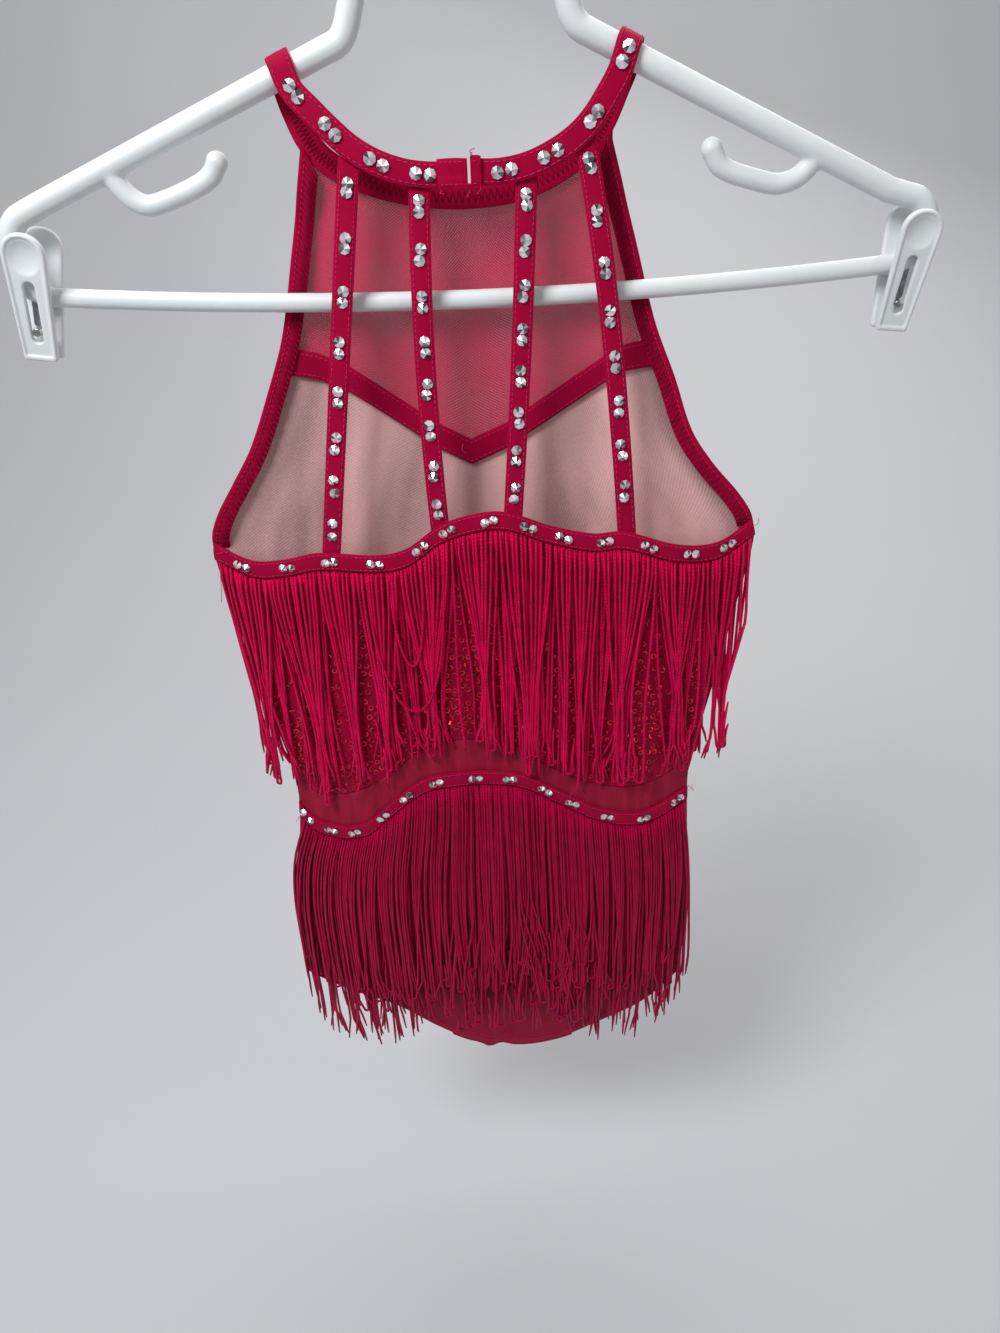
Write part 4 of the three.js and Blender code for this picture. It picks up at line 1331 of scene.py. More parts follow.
@dataclass(eq=False)
class Neckband(Sheet):
    """The folded strip over both arms of the hanger and round the front neckline."""

    rings: list[tuple[Vector, Vector, Vector]] = field(default_factory=list)

    ROUND_ARM = ARM_RADIUS + 0.8 + BAND / 2
    PER_ROW = 6
    PUFF = 0.25

    def __post_init__(self) -> None:
        """Works out the strip's line with its width and thickness directions."""
        middles = [self._middle(row) for row in NECKBAND_LINE]
        steps = (len(middles) - 1) * self.PER_ROW
        places = [curve_through(middles, share) for share in shares(steps)]
        last = Vector((0, 0, 1))
        for i, place in enumerate(places):
            run = (places[min(i + 1, steps)] - places[max(i - 1, 0)]).normalized()
            row, part = divmod(i / self.PER_ROW, 1)
            held = mix(self._hold(int(row)), self._hold(math.ceil(i / self.PER_ROW)), part)
            along_arm = self._same_way(Vector((1, 0, arm_at(place.x).slope)).normalized(), last)
            flat = self._same_way(Vector((run.z, 0, -run.x)).normalized(), last)
            width = flat.lerp(along_arm, held).normalized()
            last = width
            self.rings.append((place, width, run.cross(width).normalized()))

    def _middle(self, row: Turn) -> Vector:
        """Middle of the strip at a row.

        Args:
            row: A plain place or an angle over an arm.

        Returns:
            The place, in millimetres.
        """
        if row.over is None:
            return Vector((row.x, row.y, row.z))
        turn, arm = math.radians(row.over), arm_at(row.x)
        rise = self.ROUND_ARM * math.cos(turn) / math.cos(math.atan(arm.slope))
        return Vector((row.x, self.ROUND_ARM * math.sin(turn), arm.height(row.x) + rise))

    @staticmethod
    def _hold(index: int) -> float:
        """How far the strip's width has turned along the arm at a row."""
        row = NECKBAND_LINE[index]
        return row.arm if row.over is None else 1.0

    @staticmethod
    def _same_way(direction: Vector, last: Vector) -> Vector:
        """The direction, turned round where it points against the last one."""
        return -direction if direction.dot(last) < 0 else direction

    def point(self, s: float, t: float, out: float = 0.0) -> Place:
        """A place on the strip.

        Args:
            s: The share from the left end of the closure to its right end.
            t: The share across.
            out: How far it is moved off the strip's outer face.

        Returns:
            The place, in millimetres.
        """
        along = s * (len(self.rings) - 1)
        first = min(int(along), len(self.rings) - 2)
        one, two = self.rings[first], self.rings[first + 1]
        middle, width, off = [p.lerp(q, along - first) for p, q in zip(one, two)]
        puffed = out + self.PUFF * dome(t)
        place = middle + width * ((t - 0.5) * NECKBAND_WIDTH) + off * (puffed * self.outward)
        return place.x, place.y, place.z

    @property
    def outward(self) -> int:
        """Sign that makes the thickness direction point away from the viewer's inside face."""
        first = self.rings[0]
        return -1 if first[2].y > 0 else 1


# ---- trims ----
@dataclass
class StoneSetter:
    """Faceted, pointed stones set in touching pairs."""

    across: float = 5.6
    high: float = 2.4
    facets: int = 8

    BASE = 0.6
    POINT = 0.06
    LEAN = 0.12

    def master(self) -> bpy.types.Mesh:
        """One stone on its flat back, with its point along +Z, for each stone to copy."""
        stone = primitive("stone", "cylinder", vertices=self.facets, radius=self.across / 2 * MM,
                          depth=self.BASE * MM, location=(0, 0, self.BASE / 2 * MM), end_fill_type="NGON")
        with picked(stone, "VERT", lambda place: place.z > self.BASE / 2 * MM):
            rise = (self.high - self.BASE) * MM
            bpy.ops.mesh.extrude_region_move(TRANSFORM_OT_translate={"value": (0, 0, rise)})
            bpy.ops.transform.resize(value=(self.POINT, self.POINT, 1), center_override=(0, 0, 0))
        return take_mesh(stone)

    def set_pairs(self, name: str, places: Sequence[tuple[Sheet, float]], seed: int) -> None:
        """Sets a pair at each place and joins them.

        Args:
            name: The piece's name.
            places: For each pair its cloth and its share along it.
            seed: What the small turns and shifts are drawn from.
        """
        draw = random.Random(seed)
        master, batch = self.master(), Batch()
        for sheet, s in places:
            long = sheet.length()
            for end in (-1, 1):
                part = s + end * (self.across * 0.49 * MM + draw.uniform(0.0, 0.2) * MM) / long
                stand = sheet.stand(part, 0.5 + draw.uniform(-0.06, 0.06), sheet.wall / 2 + 0.15)
                lean = leaning(draw.uniform(-self.LEAN, self.LEAN), draw.uniform(-self.LEAN, self.LEAN))
                # Painted reflections: every facet gets a dark or bright tone of its own.
                facet_glints = [draw.choice((0.15, 0.5, 0.85, 1.0)) + draw.uniform(-0.1, 0.1)
                         for _ in master.polygons]
                batch.copy(master, stand @ lean @ Matrix.Rotation(draw.uniform(0, 6), 4, "Z"), facet_glints)
        settle(batch.piece(name, smooth=False), Palette.STONE, slot="stones")


@dataclass
class Needle:
    """Rows of thread: straight topstitching or a zigzag."""

    long: float = 1.8
    pitch: float = 2.6
    thick: float = 0.42
    batch: Batch = field(default_factory=Batch)

    def row(self, sheet: Sheet, t: float, begin: float = 0.01, end: float = 0.99) -> None:
        """Topstitches along a piece.

        Args:
            sheet: The cloth.
            t: The share across it at which the row runs.
            begin: Share where it starts.
            end: Share where it ends.
        """
        count = max(2, int(sheet.length(t) / MM * (end - begin) / self.pitch))
        half = self.long / 2 * MM / sheet.length(t)
        for i in range(count):
            s = mix(begin, end, (i + 0.5) / count)
            self.stitch([sheet.at(s + part * half, t, sheet.wall / 2 + lift)
                          for part, lift in ((-1, -0.1), (-0.5, 0.16), (0.5, 0.16), (1, -0.1))])

    def zigzag(self, sheet: Sheet, low: float, high: float, side: int = 1, begin: float = 0.01,
               end: float = 0.99) -> None:
        """Zigzags along a piece.

        Args:
            sheet: The cloth.
            low: The share across it at one edge of the zigzag.
            high: The share at the other edge.
            side: The face that shows.
            begin: Share where it starts.
            end: Share where it ends.
        """
        count = int(sheet.length() / MM * (end - begin) / (self.pitch * 0.55))
        for i in range(count):
            ends = (low, high) if i % 2 else (high, low)
            s = [mix(begin, end, (i + part) / count) for part in (0.06, 0.94)]
            self.stitch([sheet.at(mix(*s, share), mix(*ends, share), side * (sheet.wall / 2 + 0.14))
                          for share in (0, 0.5, 1)])

    def stitch(self, path: list[Vector]) -> None:
        """Adds one stitch."""
        self.batch.tube(path, self.thick / 2 * MM, 4)

    def rows(self, sheet: Sheet, shares: Sequence[float], begin: float = 0.01, end: float = 0.99) -> None:
        """Topstitches along a piece at several shares across it."""
        for t in shares:
            self.row(sheet, t, begin, end)

    def finish(self, name: str, finish: "Palette") -> None:
        """Joins the stitches as one piece."""
        settle(self.batch.piece(name), finish)


# ---- fringes ----
@dataclass(frozen=True)
class Tier:
    """One layer of a fringe: how many cords it has, how they end and how they gather."""

    count: int
    ends: Smooth
    scatter: float
    gather: float
    clump: float
    proud: float
    hook: float
    turned: float


@dataclass(frozen=True)
class Tangle:
    """Cords that swerve aside and turn back up, over one part of a fringe."""

    count: int
    left: float
    right: float
    high: float
    low: float
    proud: float


@dataclass
class Fringe:
    """Cords hanging from under a band, in tiers that lie over each other."""

    name: str
    band_top: Edge
    tiers: tuple[Tier, ...]
    plumb_from: float
    seed: int
    spread: Callable[[float, float], float]
    loops: tuple[Place, ...] = ()
    partings: tuple[Spot, ...] = ()
    tangle: Tangle | None = None

    RADIUS = 0.82
    SIDES = 5
    STEPS = 17
    UNDER = 0.6
    TIP = 0.6
    BEYOND = 6.0
    FROM_SIDE = 2.2
    TIP_LEVEL = -560
    STEADY = 0.85
    DRIFT = 1.3
    WILD_DRIFT = 6
    HOOKED = 0.55
    SLIGHT_HOOK = 0.8

    def hang(self, batch: Batch, path: Sequence[Vector], draw: random.Random) -> None:
        """Adds a cord along a path, with a girth of its own and a narrow tip."""
        batch.tube(path, self.RADIUS * draw.uniform(0.86, 1.08) * MM, self.SIDES, self.TIP)

    def root(self, x: float) -> float:
        """Height just under the band, where the cords begin."""
        return self.band_top(x) - BAND_HEIGHT - SEAM * 0.2

    def parted(self, home: float) -> float:
        """How far a cord swings away from the partings near it.

        Args:
            home: Its place along the band.

        Returns:
            The distance, to the right.
        """
        swing = 0.0
        for x, reach in self.partings:
            off = home - x
            swing += math.copysign(reach * math.exp(-(off / (reach * 1.7)) ** 2), off)
        return swing

    def cord(self, home: float, tip: float, shift: Edge, out: float, draw: random.Random,
             hook: float) -> list[Vector]:
        """The path of one cord.

        Args:
            home: Its place along the band.
            tip: The height of its end.
            shift: How far aside it hangs at a share of its length.
            out: How far it hangs off the cloth.
            draw: Where its small waves are drawn from.
            hook: How far its end may curl aside.

        Returns:
            The points of its middle line.
        """
        root = self.root(home) - self.UNDER
        at_root = self.spread(home, root)
        phase, wave = draw.uniform(0, 6.3), draw.uniform(0.3, 1.0)
        curl = draw.uniform(-1, 1) * hook
        path = []
        for i in range(self.STEPS + 1):
            t = i / self.STEPS
            z = mix(root, tip, t)
            wide = self.spread(home, z) / at_root
            x = home * wide + shift(t) + wave * math.sin(phase + 7 * t) * t
            end = ease((t - 0.86) / 0.14)
            x, z = x + curl * end, z + abs(curl) * 0.45 * end * end
            limit = Body.half(-1 if x < 0 else 1, max(z, self.plumb_from)) + self.BEYOND
            x = max(-limit, min(limit, x))
            lift = out * ease(t / 0.08 + 0.35) + 0.35 * math.sin(phase * 2 + 5 * t) * t
            y = Body.back(x, max(z, self.plumb_from), CLOTH / 2 + SEAM + self.RADIUS + lift)
            path.append(in_frame(x, y, z))
        return path

    def build(self) -> Piece:
        """All cords as one piece.

        Returns:
            The finished fringe.
        """
        draw = random.Random(self.seed)
        batch = Batch()
        top = Body.corner(self.root, -1)
        low = self.FROM_SIDE - HALF_LEFT(top)
        high = HALF_RIGHT(Body.corner(self.root, 1)) - self.FROM_SIDE
        for tier in self.tiers:
            middles = []
            x = low
            while x < high:
                middles.append(x + tier.clump * draw.uniform(0.3, 0.7))
                x += tier.clump * draw.uniform(0.7, 1.35)
            for i in range(tier.count):
                home = mix(low, high, (i + draw.uniform(0.25, 0.75)) / tier.count)
                nearest = min(middles, key=lambda middle: abs(middle - home))
                pull = (nearest - home) * tier.gather * draw.uniform(0.55, 1.0) + self.parted(home)
                stray = draw.gauss(0, self.DRIFT if draw.random() < self.STEADY else self.WILD_DRIFT)
                end = tier.ends(home * self.spread(home, self.TIP_LEVEL) / self.spread(home, self.root(home)))
                tip = end + draw.gauss(0, tier.scatter)
                path = self.cord(
                    home, tip, lambda t: pull * ease(t * 1.15) + stray * t * t,
                    tier.proud + draw.uniform(0, 1.1), draw,
                    tier.hook if draw.random() < self.HOOKED else self.SLIGHT_HOOK)
                if draw.random() < tier.turned:
                    self.turn_up(path, draw.choice((-1, 1)) * draw.uniform(0.9, 2.1), draw.uniform(9, 30))
                self.hang(batch, path, draw)
        if self.tangle:
            self.add_tangle(self.tangle, batch, draw)
        for left, right, bottom in self.loops:
            batch.tube(self.stray_loop(left, right, bottom), self.RADIUS * 0.9 * MM, self.SIDES)
        return batch.piece(sewn(self.name))

    def add_tangle(self, tangle: Tangle, batch: Batch, draw: random.Random) -> None:
        """Adds the cords of a tangle.

        Args:
            tangle: Where it lies and how many cords it has.
            batch: What the cords are added to.
            draw: Where their shapes are drawn from.
        """
        for _ in range(tangle.count):
            home = draw.uniform(tangle.left, tangle.right)
            way = draw.choice((-1, 1))
            swerve = way * draw.uniform(2, 13)
            path = self.cord(home, draw.uniform(tangle.low, tangle.high),
                             lambda t: swerve * ease(2.2 * t - 1.2),
                             tangle.proud + draw.uniform(0, 2), draw, 2.0)
            self.turn_up(path, way * draw.uniform(1.0, 3.4), draw.uniform(10, 42))
            self.hang(batch, path, draw)

    @staticmethod
    def turn_up(path: list[Vector], half: float, rise: float) -> None:
        """Bends a cord's end round and back up.

        Args:
            path: The cord, which is made longer.
            half: Half the width of the bend, with its side as the sign.
            rise: How far the end goes up again.
        """
        last, bends = path[-1], 5
        for k in range(1, bends + 1):
            turn = math.pi * k / bends
            path.append(last + Vector((half * (1 - math.cos(turn)), 0, -abs(half) * math.sin(turn))) * MM)
        foot, rises = path[-1], 4
        for k in range(1, rises + 1):
            share = k / rises
            bow = 0.3 * share - 0.4 * math.sin(math.pi * share)
            path.append(foot + Vector((half * bow, 0, rise * share)) * MM)

    def stray_loop(self, left: float, right: float, bottom: float) -> list[Vector]:
        """A cord that swings from one place under the band to another, over the rest.

        Args:
            left: Where it begins.
            right: Where it ends.
            bottom: How low it hangs.

        Returns:
            The points of its middle line.
        """
        steps = 44
        path = []
        for t in shares(steps):
            turn = math.pi * t
            x = mix(left, right, ease(t))
            top = mix(self.root(left), self.root(right), t) - 1
            z = mix(top, bottom, math.sin(turn) ** 0.8)
            y = Body.back(x, z, CLOTH / 2 + SEAM + 2.2 + 3.2 * min(1.0, 3 * math.sin(turn)))
            path.append(in_frame(x, y, z))
        return path


UPPER_ENDS = Smooth(
    (-142, -340), (-122, -350), (-104, -354), (-84, -348), (-54, -338), (-30, -320), (-5, -327), (26, -335),
    (61, -353), (89, -350), (142, -338),
)
LOWER_ENDS = Smooth(
    (-142, -512), (-131, -545), (-118, -564), (-87, -563), (-64, -552), (-42, -530), (-22, -534), (16, -546),
    (44, -552), (62, -562), (99, -564), (125, -540),
)
LOWER_OUTER_ENDS = Smooth(
    (-142, -500), (-120, -516), (-90, -528), (-60, -528), (-30, -520), (0, -512), (30, -520), (60, -532),
    (100, -534), (125, -524),
)
SEAT_LEFT = Smooth((-600, 143), (-461, 144), (-435, 142), (-411, 137), (-390, 129), (-365, 121))
SEAT_RIGHT = Smooth((-600, 124), (-461, 124), (-435, 123), (-411, 121), (-390, 118.5), (-365, 117))


def seat_spread(x: float, z: float) -> float:
    """Width that the lower fringe spreads over."""
    return SEAT_LEFT(z) if x < 0 else SEAT_RIGHT(z)


def no_spread(x: float, z: float) -> float:
    """The upper fringe hangs straight."""
    return 1.0


# ---- the garment ----
class StrapRow(NamedTuple):
    """One back strap, with the heights of its first and last pair of stones."""

    top: Spot
    middle: Spot
    foot: float
    first: float
    last: float


STRAPS = (
    StrapRow((-50.5, -23), (-62, -97), -79.5, -35, -191),
    StrapRow((-21, -33), (-23.8, -110), -22, -43, -182),
    StrapRow((25.5, -33), (21.5, -105), 15, -42, -175),
    StrapRow((50.5, -18.5), (63, -96), 73.5, -29, -176),
)
PAIRS_ON_STRAP = 8
EDGE_ROWS = (0.13, 0.87)
NARROW_EDGE_ROWS = (0.14, 0.86)
HEM_ROWS = (0.962, 0.976)
LOOSE_THREAD = 0.32
BACK_BAND_PAIRS = (-126.7, -102.4, -79.9, -56.7, -33, -18.7, 2.4, 22.1, 39.8, 60.8, 83.5, 106.1, 125.6)
HIP_BAND_PAIRS = (-115.5, -101, -86.3, -67.7, -52.7, -34.2, -11.2, 8.7, 29.1, 45.1, 66.3, 88.8, 109.8)
NECKBAND_PAIRS = (-70.9, -57.5, -38.3, -18.6, 15.8, 35.6, 54.3, 67.2)
FRONT_NECK_PAIRS = (-62, -42, -20, 2, 24, 43, 57)


@dataclass
class Garment:
    """All cloth pieces, trims and fringes of the unitard."""

    columns: int = 96
    stitches: Needle = field(default_factory=Needle)
    zigzags: Needle = field(default_factory=lambda: Needle(pitch=1.6, thick=0.34))
    ribs: Needle = field(default_factory=lambda: Needle(pitch=2.4, thick=0.8))
    made: dict[str, Piece] = field(default_factory=dict)

    def make(self, sheet: Sheet, finish: Palette, slot: str = "cloth_red") -> None:
        """Builds a cloth piece, dresses it and puts it in the place of its node."""
        self.made[sheet.name] = sheet.build()
        settle(self.made[sheet.name], finish, sheet.name, slot=slot)

    def declare(self, sheet: Sheet, *rests_on: str, with_pieces: Sequence[str] = ()) -> None:
        """Works out the width, height and area that a finished cloth piece is cut to, and keeps none of them.

        Args:
            sheet: The cloth.
            rests_on: Not used.
            with_pieces: Not used.
        """
        width = max(sheet.length(t) for t in (0, 0.25, 0.5, 0.75, 1))
        height = max(sheet.height(s) for s in (0.02, 0.1, 0.25, 0.5, 0.75, 0.9, 0.98))
        steps = 24
        area = sum(
            (sheet.at((i + 1) / steps, (j + 0.5) / steps) - sheet.at(i / steps, (j + 0.5) / steps)).length
            * (sheet.at((i + 0.5) / steps, (j + 1) / steps) - sheet.at((i + 0.5) / steps, j / steps)).length
            for i in range(steps) for j in range(steps))
        area = max(0.3 * width * height, min(area, width * height))

    def back(self) -> None:
        """Sequinned bodice, sheer inset, brief and the two waved bands."""
        bodice = Panel("back_bodice", self.columns, 34, CLOTH, Wall.BACK, lowered(BACK_BAND_TOP, TUCK),
                       lowered(SEQUIN_EDGE, -SEAM / 2))
        waist = Panel("back_waist", self.columns, 8, THIN, Wall.BACK, lowered(SEQUIN_EDGE, SEAM / 2),
                      lowered(HIP_BAND_TOP, TUCK - SEAM / 2))
        brief = Panel("back_brief", self.columns, 40, CLOTH, Wall.BACK,
                      lowered(HIP_BAND_TOP, TUCK + SEAM / 2), LEG_EDGE)
        for name, top, pairs, seed in (("back_band", BACK_BAND_TOP, BACK_BAND_PAIRS, 3),
                                       ("hip_band", HIP_BAND_TOP, HIP_BAND_PAIRS, 4)):
            band = Panel(name, 120, 4, BAND, Wall.BACK, top, lowered(top, BAND_HEIGHT), OVER_CLOTH, puff=0.3)
            self.make(band, Palette.BAND_RED)
            self.stitches.rows(band, EDGE_ROWS)
            places = [(band, band.share_at(x)) for x in pairs]
            StoneSetter(4.6, 2.1).set_pairs(f"stones_{name}", places, seed)
        for panel, finish, slot in ((bodice, Palette.RED, "sequin_cloth"), (waist, Palette.SHEER, "net_red"),
                                    (brief, Palette.RED, "cloth_red")):
            self.make(panel, finish, slot)
        self.stitches.rows(brief, HEM_ROWS, 0.2, 0.8)
        self.sequins(bodice)
        self.fringes()
        self.declare(bodice, "front_bodice",
                     with_pieces=[sewn("back_band"), "stones_back_band", sewn("fringe_upper"), "sequins"])
        self.declare(waist, "back_bodice")
        self.declare(brief, "back_waist",
                     with_pieces=[sewn("hip_band"), "stones_hip_band", sewn("fringe_lower")])

    def sequins(self, bodice: Panel) -> None:
        """Ring sequins in waved rows over the back bodice."""
        draw = random.Random(11)
        ring = primitive("ring", "torus", (1, 1, 0.3), major_segments=9, minor_segments=3,
                         major_radius=1.2 * MM, minor_radius=0.5 * MM)
        master, batch = take_mesh(ring), Batch()
        rows, per_row, missing = 27, 58, 0.12
        for r in range(rows):
            for c in range(per_row):
                s = (c + 0.5 + 0.5 * (r % 2)) / (per_row + 0.5) + draw.gauss(0, 0.0012)
                t = (r + 0.6 + 0.45 * math.sin(c * 0.55 + r * 0.4)) / (rows + 0.6) + draw.gauss(0, 0.003)
                if not (0.01 < s < 0.99 and 0.04 < t < 0.985) or draw.random() < missing:
                    continue
                lean = leaning(draw.gauss(0, 0.3), draw.gauss(0, 0.3))
                batch.copy(master, bodice.stand(s, t, bodice.wall / 2 + 0.4) @ lean)
        settle(batch.piece("sequins", smooth=False), Palette.SEQUIN, slot="sequin_cloth")

    def fringes(self) -> None:
        """The two tiers of fringe."""
        upper = Fringe(
            "fringe_upper", BACK_BAND_TOP, (
                Tier(128, UPPER_ENDS, 4.5, 0.72, 15, 0.4, 4.5, 0.12),
                Tier(112, UPPER_ENDS, 7.0, 0.85, 22, 2.8, 5.5, 0.28),
            ), -300, 5, no_spread, ((-62, -22, -297), (-50, -33, -268)),
            ((-16, 8), (-112, 4), (-68, 4), (44, 3.5), (88, 9), (116, 5)))
        lower = Fringe(
            "fringe_lower", HIP_BAND_TOP, (
                Tier(150, LOWER_ENDS, 6.5, 0.75, 10, 0.4, 5.0, 0.0),
                Tier(150, LOWER_OUTER_ENDS, 9.0, 0.65, 11, 2.8, 7.0, 0.3),
            ), -470, 9, seat_spread, tangle=Tangle(46, -26, 56, -490, -554, 3.0))
        # The lower fringe's cord is darkened as painted shade.
        for fringe, finish in ((upper, Palette.FRINGE), (lower, Palette.LOWER_FRINGE_IN_SHADE)):
            settle(fringe.build(), finish, fringe.name, slot="fringe")

    def front(self) -> None:
        """Yoke, bodice, lining, brief, V band and the two bindings."""
        v_gap = SEAM / 2 / math.cos(math.atan2(40, 60))
        waist = level(FRONT_WAIST + SEAM / 2)
        yoke = Panel("front_yoke", 84, 30, 0.6, Wall.FRONT, NECKLINE, lowered(V_LINE, -v_gap), LINING_IN)
        bodice = Panel("front_bodice", self.columns, 56, CLOTH, Wall.FRONT, lowered(V_LINE, v_gap), waist)
        lining = Panel("front_lining", 140, 40, 0.8, Wall.FRONT, lowered(V_LINE, v_gap), waist, LINING_IN,
                       3.5, 5 / 9, LINING_FOLDS)
        brief = Panel("front_brief", self.columns, 44, CLOTH, Wall.FRONT, level(FRONT_WAIST - SEAM / 2),
                      LEG_EDGE)
        gusset = Gusset("gusset", 24, 14, CLOTH)
        v_band = VBand("front_v_band", 80, 4, BAND)
        for sheet, finish, slot in (
                (yoke, Palette.NET, "net_red"), (bodice, Palette.RED, "cloth_red"),
                (lining, Palette.LINING, "lining"), (brief, Palette.RED, "cloth_red"),
                (gusset, Palette.RED, "cloth_red"), (v_band, Palette.BAND_RED, "cloth_red")):
            self.make(sheet, finish, slot)
        self.stitches.rows(v_band, NARROW_EDGE_ROWS)
        for side, name, top in ((-1, "armhole_binding_left", (-29, -18)),
                                (1, "armhole_binding_right", (-26, -15))):
            binding = Binding(name, 130, 10, BAND, side, top)
            self.make(binding, Palette.BAND_RED)
            self.ribs.zigzag(binding, 0.06, 0.68)
            self.stitches.row(binding, 0.74)
        self.declare(yoke, "neckband")
        self.declare(bodice, "front_yoke",
                     with_pieces=[sewn("armhole_binding_left"), sewn("armhole_binding_right")])
        for sheet in (lining, brief):
            self.declare(sheet, "front_bodice")
        self.declare(gusset, "front_brief", "back_brief")
        self.declare(v_band, "front_bodice")

    def neck(self) -> None:
        """Neckband, straps, closure and their stones."""
        neckband = Neckband("neckband", 330, 4, BAND)
        self.make(neckband, Palette.BAND_RED)
        self.stitches.rows(neckband, EDGE_ROWS)
        front = [i / (len(neckband.rings) - 1) for i, ring in enumerate(neckband.rings)
                 if ring[0].y > FRONT_Y - 0.3 and ring[0].z < 0]
        self.zigzags.zigzag(neckband, 0.28, 0.72, -1, min(front), max(front))
        places, rings = [], neckband.rings
        for x, at_back in [(x, True) for x in NECKBAND_PAIRS] + [(x, False) for x in FRONT_NECK_PAIRS]:
            ranked = [i for i in range(len(rings)) if (rings[i][0].y < 0) == at_back]
            nearest = min(ranked, key=lambda i: abs(rings[i][0].x - x) + max(0, rings[i][0].z - 12))
            places.append((neckband, nearest / (len(rings) - 1)))
        StoneSetter().set_pairs("stones_neckband", places, 21)
        strap_places = []
        for number, row in enumerate(STRAPS, 1):
            strap = Strap(f"back_strap_{number}", 70, 4, CLOTH, row.top, row.middle, row.foot)
            self.make(strap, Palette.BAND_RED)
            self.stitches.rows(strap, NARROW_EDGE_ROWS, 0.05, 0.98)
            for i in range(PAIRS_ON_STRAP):
                height = mix(row.first, row.last, i / (PAIRS_ON_STRAP - 1))
                share = min((k / 200 for k in range(201)), key=lambda s: abs(strap.point(s, 0.5)[2] - height))
                strap_places.append((strap, share))
        StoneSetter(5.2, 2.3).set_pairs("stones_straps", strap_places, 34)
        Closure().build(self.stitches)
        straps = [sewn(f"back_strap_{number}") for number in range(1, len(STRAPS) + 1)]
        self.declare(neckband, "hanger_frame", with_pieces=[
            "stones_neckband", "stones_straps", sewn("closure_tab"), sewn("closure_loop"), *straps])

    def loose_threads(self) -> None:
        """A few loose thread ends at the seams."""
        draw = random.Random(53)
        threads = Batch()
        for x, z, right, down in (
                (-139, -208, -4, -26), (-136, -203, -6, -3), (-33, -205, 2, 6), (-31, -206, -3, 5),
                (140, -202, 3, 4), (-124, -380, -3, -5), (117, -368, 4, -6), (118, -372, 3, 3),
                (48, -352, -5, -12), (50, -352, 4, -14), (-8, -148, 1, -5)):
            x = max(0.5 - Body.half(-1, z), min(Body.half(1, z) - 0.5, x))
            path = []
            sway = draw.uniform(-1.5, 1.5)
            for t in shares(12):
                across, height = x + right * t + sway * math.sin(math.pi * t), z + down * t
                path.append(in_frame(across, Body.back(across, height, 3.4 + math.sin(5 * t)), height))
            threads.tube(path, LOOSE_THREAD / 2 * MM, 4)
        settle(threads.piece("loose_threads"), Palette.THREAD)

    def build(self) -> None:
        """Makes the whole garment."""
        self.neck()
        self.front()
        self.back()
        self.loose_threads()
        self.stitches.finish("topstitching", Palette.THREAD)
        # The inner zigzag's thread is darkened partly as painted shade.
        self.zigzags.finish("zigzag_stitching", Palette.DARK_THREAD_IN_SHADE)
        self.ribs.finish("binding_ribs", Palette.RIB)


@dataclass
class Closure:
    """The folded tab and the loop at the back of the neck, with a few loose threads."""

    y: float = BACK_Y - BAND - SEAM
    low: float = -36.4
    high: float = -25.2
    tab: Spot = (-13.0, 0.1)
    loop: Spot = (1.3, 6.0)

    def pad(self, name: str, left: float, right: float, low: float, high: float, y: float,
            thick: float) -> Piece:
        """A small soft folded piece.

        Args:
            name: The piece's name.
            left: Its left edge.
            right: Its right edge.
            low: Its lower edge.
            high: Its upper edge.
            y: The place of its middle along Y.
            thick: Its thickness.

        Returns:
            The piece.
        """
        piece = primitive(sewn(name), "cube", ((right - left) * MM, thick * MM, (high - low) * MM),
                          size=1, location=in_frame((left + right) / 2, y, (low + high) / 2))
        with editing():
            bpy.ops.mesh.subdivide(number_cuts=5)
        round_edges(piece, thick * 0.32, 3, RIM_ANGLE)
        apply_modifiers(piece)
        draw = random.Random(len(name))
        for vertex in piece.data.vertices:
            share = (vertex.co.x / MM - left) / (right - left)
            vertex.co.z += 0.35 * MM * math.sin(share * 3 + draw.uniform(0, 0.3))
            vertex.co.y -= 0.2 * MM * math.sin(vertex.co.z * 900)
        layer = piece.data.uv_layers[0]
        layer.name = "pattern"
        for loop in piece.data.loops:
            at = piece.data.vertices[loop.vertex_index].co
            layer.data[loop.index].uv = (at.x, at.z)
        bpy.ops.object.shade_smooth_by_angle(angle=math.radians(50))
        return piece

    def build(self, stitches: Needle) -> None:
        """Both halves and their threads.

        Args:
            stitches: The needle that sews the garment.
        """
        tab = self.pad("closure_tab", *self.tab, self.low, self.high, self.y, BAND)
        settle(tab, Palette.BAND_RED, "closure_tab", slot="cloth_red")
        loop = self.pad("closure_loop", *self.loop, self.low, self.high + 0.8, self.y, BAND)
        tongue = self.pad("closure_tongue", -6, self.loop[0] + 1, self.low - 0.6, self.low + 1.2,
                          self.y - BAND - SEAM, 1)
        settle(tongue, Palette.BAND_RED, slot="cloth_red")
        settle(loop, Palette.BAND_RED, "closure_loop", slot="cloth_red")
        draw = random.Random(77)
        for left, right in (self.tab, self.loop):
            for z in (self.low + 1.4, self.high - 1.2):
                for i in range(int((right - left - 1.5) / 2)):
                    x = left + 1.2 + i * 2
                    stitches.stitch([in_frame(x + d, self.y - BAND / 2 - lift, z)
                                      for d, lift in ((0, -0.1), (0.4, 0.2), (1.1, 0.2), (1.5, -0.1))])
        threads = Batch()
        for x, z, long in ((1.4, -25, 7), (2.6, -25.4, 5), (0.4, -37, 6), (-12, -36.6, 4), (5.2, -36.4, 5)):
            lean, rise = draw.uniform(-0.5, 0.5), 1 if z > -30 else -1
            threads.tube([in_frame(x + lean * long * t * t + 0.5 * math.sin(9 * t), self.y - 0.9 - t,
                                   z + rise * long * (t - 0.5 * t * t)) for t in shares(8)],
                         0.17 * MM, 4)
        settle(threads.piece("closure_threads"), Palette.THREAD)


